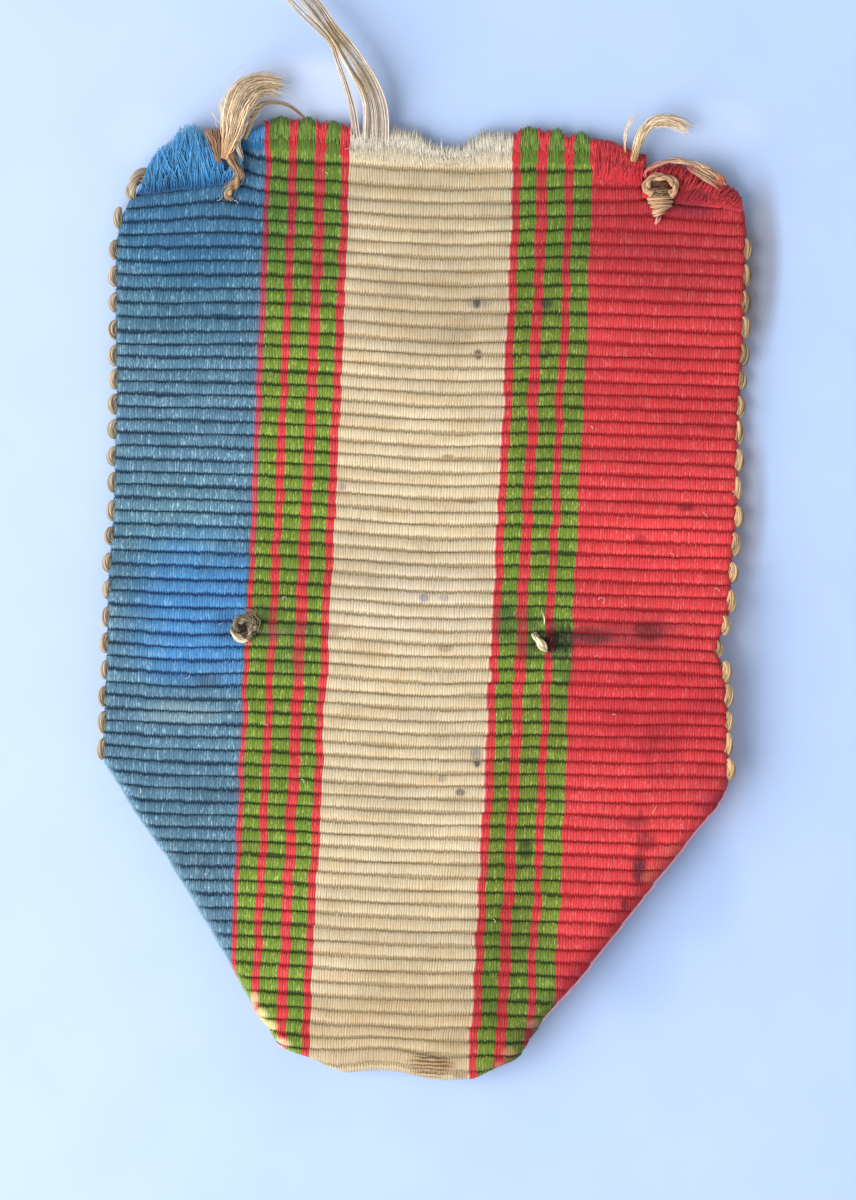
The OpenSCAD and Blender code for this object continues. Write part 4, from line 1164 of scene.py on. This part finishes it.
soiled = fibre_material("soiled_knot_thread", (122, 110, 88), (138, 122, 98), 1.1)
knot_pale = fibre_material("pale_knot_thread", (158, 142, 114), (208, 192, 160), 0.9, turn=0.4)
# Near-black fibres as painted shade in the hole of the left knot
knot_dark = fibre_material("dark_knot_fibres", (34, 28, 24), (62, 50, 40), 0.8)
# Fibres in the eyelet's hole, brown above and tan below as painted shade
hole_brown = fibre_material("brown_eyelet_fibres", (84, 50, 38), (116, 74, 56), 0.8)
hole_tan = fibre_material("tan_eyelet_fibres", (136, 104, 78), (164, 132, 102), 0.8)
lint_pale = fibre_material("pale_lint", (206, 204, 198), (222, 216, 206), 0.4,
                           patches=[(24.0, 0.0, 20.0, 60.0, (1.0, 0.55, 0.5))])


def sew(name, routes, material, *nodes):
    """A finished piece of sewing thread."""
    add_strands(name, routes, material, "sewing_thread", *nodes)


def bundle(lines, count, radius, points, ends, waviness):
    """Even fibres along each of some routes."""
    return [route for rows in lines
            for route in tuft(rows, count, radius, points, ends, flare=0.0, waviness=waviness)]


sew("left_stitch", yarn(LEFT_STITCH, 40, 2.4, filaments=9, loose=0.5)
    + tuft(LEFT_STITCH, 16, 0.03, 16, waviness=0.08), brown, "left_pin_stitch")
sew("left_wedge", tuft(LEFT_WEDGE, 150, 0.04, 8, flare=0.3), dark_brown)
sew("left_tuft", tuft(LEFT_TUFT, 520, 0.033, 14, (0.6, 1.0), 0.15, 0.07)
    + tuft(LEFT_TUFT, 200, 0.016, 14, (0.3, 1.06), 0.8, 0.2), golden, "left_thread_tuft")
sew("left_stray_strand", bundle([STRAY_ARC], 14, 0.045, 18, (0.97, 1.0), 0.02), grey_brown)
sew("left_pale_strands", bundle(PALE_STRANDS, 9, 0.04, 12, (0.9, 1.0), 0.02), pale)

eyelet = yarn(ring(EYELET_AT, EYELET_R, 1.55, EYELET_THREAD_R, turns=0.8, start=-0.9, rise=0.1,
                   squash=EYELET_SQUASH), 34, 1.8, filaments=8, loose=0.3)
for y, width in EYELET_WRAPS:
    middle = EYELET_AT[0] + rng.normal(0, 0.04)
    slope = rng.normal(0.03, 0.05)
    wrap_rows = [(middle + side * width, y + side * slope, height, reach)
                 for side, height, reach in WRAP_ROWS]
    eyelet += yarn(wrap_rows, 12, 0.3, filaments=7, loose=0.4)
sew("right_eyelet", eyelet, beige, "right_pin_stitch")
# Fibres in its hole, darker above than below as painted shade
sew("eyelet_dark_fibres", tuft(EYELET_DARK, 110, 0.035), hole_brown)
sew("eyelet_tan_fibres", tuft(EYELET_TAN, 60, 0.035), hole_tan)
sew("right_pink_stitch", yarn(PINK_STITCH, 6, 0.2, filaments=5), pink)
sew("right_overcast", yarn(RIGHT_OVERCAST, 44, 2.2, filaments=7, loose=0.4)
    + tuft(RIGHT_OVERCAST, 12, 0.03, 18, (0.9, 1.0), waviness=0.06)
    + tuft(RIGHT_OVERCAST_INNER, 14, 0.035, 10, (0.8, 1.0)), rosy, "right_overcast_thread")
sew("right_tuft", tuft(RIGHT_TUFT, 150, 0.027, 14, (0.5, 1.0), 0.2, 0.1), golden, "right_thread_tuft")
sew("right_fine_hairs", tuft(RIGHT_HAIR, 9, 0.017), golden)
sew("loose_thread_bundle", bundle(LOOSE_THREAD, 26, 0.03, 20, (0.97, 1.0), 0.03), loose_pale,
    "loose_thread")

# Knots at the ends of the seam

left_knot = yarn(ring(LEFT_KNOT_AT, LEFT_KNOT_R * 0.66, 2.15, 0.3, turns=1.15, start=-0.6, rise=0.12),
                 34, 2.6, filaments=9, loose=0.6)
left_knot += tuft(ring(LEFT_FUZZ_AT, LEFT_KNOT_R * 0.6, 2.2, 0.3, turns=0.6, start=-0.6),
                  50, 0.022, 14, (0.2, 1.0), waviness=0.1)
# Its middle, dark as painted shade in the hole
knot_core = tuft(LEFT_KNOT_CORE, 50, 0.035)
crescent = yarn(LEFT_KNOT_CRESCENT, 20, 0.9, filaments=8, loose=0.3)
right_knot = yarn(RIGHT_KNOT, 16, 0.7, filaments=9, loose=0.3) + yarn(RIGHT_KNOT_END, 10, 0.4, filaments=4)
for name, routes, material, *nodes in (
        ("left_knot", left_knot, soiled, "left_seam_knot"),
        ("left_knot_core", knot_core, knot_dark),
        ("left_knot_crescent", crescent, knot_pale),
        ("right_knot", right_knot, knot_pale, "right_seam_knot")):
    add_strands(name, routes, material, "knot_thread", *nodes)

# Lint

LINT_POINTS = 9
lint = []
for x, y, length, way, curl in LINT:
    turns = math.radians(way) + curl * np.linspace(0, 1, LINT_POINTS)
    steps = np.cumsum(np.c_[np.cos(turns), np.sin(turns)], axis=0) * length * 0.8 / LINT_POINTS
    height = float(drape(y)) + HALF_T - float(dip_at(x, y))
    arch = 0.12 * np.sin(np.linspace(0.2, 3.0, LINT_POINTS))
    lint.append(np.c_[steps + (x, y), height + arch, np.full(LINT_POINTS, 0.014)])
sew("surface_lint", lint, lint_pale)

# Floor, light and camera

# The two tones of the floor, how much painted light makes it paler on the left towards the lamp, and how
# much painted warm light, bounced from the ribbon's red side, makes it warmer beside that side
FLOOR_TONES = ((0.415, 0.535, 0.79), (0.43, 0.55, 0.805))
PALER = (1.09, 1.055, 1.0)
PALER_FROM, PALER_TO = -4, -24
WARMER = (1.26, 1.15, 1.08)
# Where the painted bounce light makes it warmer: axis, the place with none of it, the place with all of it
WARM_PLACE = [(0, 10, 14), (0, 20.0, 18.8), (1, -18, -12), (1, 21, 15)]


def floor_colour(nodes):
    """Pale blue, with painted light making it a little paler on the left, painted warm light thrown on it
    by the ribbon's red side, and painted light and shadow in patches.
    """
    local = nodes.local()
    axes = nodes.split(local)
    colour = nodes.mixed(nodes.ranged(nodes.noise(local, 180.0, 3.0), 0.3, 0.7), *FLOOR_TONES)
    # Painted light on the left, nearest the lamp
    paler = nodes.ranged(axes[0], PALER_FROM * MM, PALER_TO * MM)
    colour = nodes.mixed(paler, colour, PALER, "MULTIPLY")
    # Painted warm light bounced from the ribbon's red side
    warmer = nodes.times(*(nodes.ranged(axes[axis], none * MM, full * MM)
                           for axis, none, full in WARM_PLACE))
    colour = nodes.mixed(warmer, colour, WARMER, "MULTIPLY")
    return nodes.patched(nodes.ribbon_place(), colour, FLOOR_PATCHES)


floor_mesh = bpy.data.meshes.new("pale_floor")
bm = bmesh.new()
bmesh.ops.create_grid(bm, x_segments=2, y_segments=2, size=1.5)
bm.to_mesh(floor_mesh)
bm.free()
floor = bpy.data.objects.new("pale_floor", floor_mesh)
bpy.context.scene.collection.objects.link(floor)
floor_material, floor_nodes, floor_shader = new_material("pale_blue_floor", roughness=0.9, sheen=0.0,
                                                         specular=0.1)
floor_nodes.give(floor_shader["Base Color"], floor_colour(floor_nodes))
floor_mesh.materials.append(floor_material)

VIEW_AT = (0.357 * MM, -3.80 * MM)
VIEW_TURN = math.radians(2)
VIEW_DISTANCE = 0.32
VIEW_HEIGHT = 70.7 * MM
SENSOR = 36
LAMP_WATTS = 3.75
LAMP_SIZE = 0.48
LAMP_WAY = (-0.80, -0.40, 0.64)
LAMP_DISTANCE = 0.42
WORLD_STRENGTH = 0.62


def add_area_light(name, energy, size, colour, direction, distance):
    """A soft lamp that looks at the ribbon from a direction."""
    lamp = bpy.data.lights.new(name, "AREA")
    lamp.energy = energy
    lamp.size = size
    lamp.color = colour
    holder = bpy.data.objects.new(name, lamp)
    bpy.context.scene.collection.objects.link(holder)
    way = np.array(direction, float)
    way /= np.linalg.norm(way)
    x, y, z = way * distance
    holder.location = (x, y, z)
    holder.rotation_euler = (math.atan2(math.hypot(x, y), z), 0, math.atan2(y, x) + math.pi / 2)


add_area_light("window", LAMP_WATTS, LAMP_SIZE, (1.0, 0.985, 0.96), LAMP_WAY, LAMP_DISTANCE)
world = bpy.data.worlds.new("pale_room")
world.use_nodes = True
background = world.node_tree.nodes["Background"].inputs
background["Color"].default_value = (0.92, 0.96, 1.0, 1.0)
background["Strength"].default_value = WORLD_STRENGTH
bpy.context.scene.world = world
bpy.context.scene.view_settings.view_transform = "Standard"

camera_data = bpy.data.cameras.new("overhead")
camera_data.sensor_width = SENSOR
camera_data.lens = SENSOR * VIEW_DISTANCE / VIEW_HEIGHT
camera_data.clip_start = 0.01
camera = bpy.data.objects.new("overhead", camera_data)
camera.location = (*VIEW_AT, VIEW_DISTANCE)
camera.rotation_euler = (0, 0, VIEW_TURN)
bpy.context.scene.collection.objects.link(camera)
bpy.context.scene.camera = camera

bpy.context.view_layer.update()
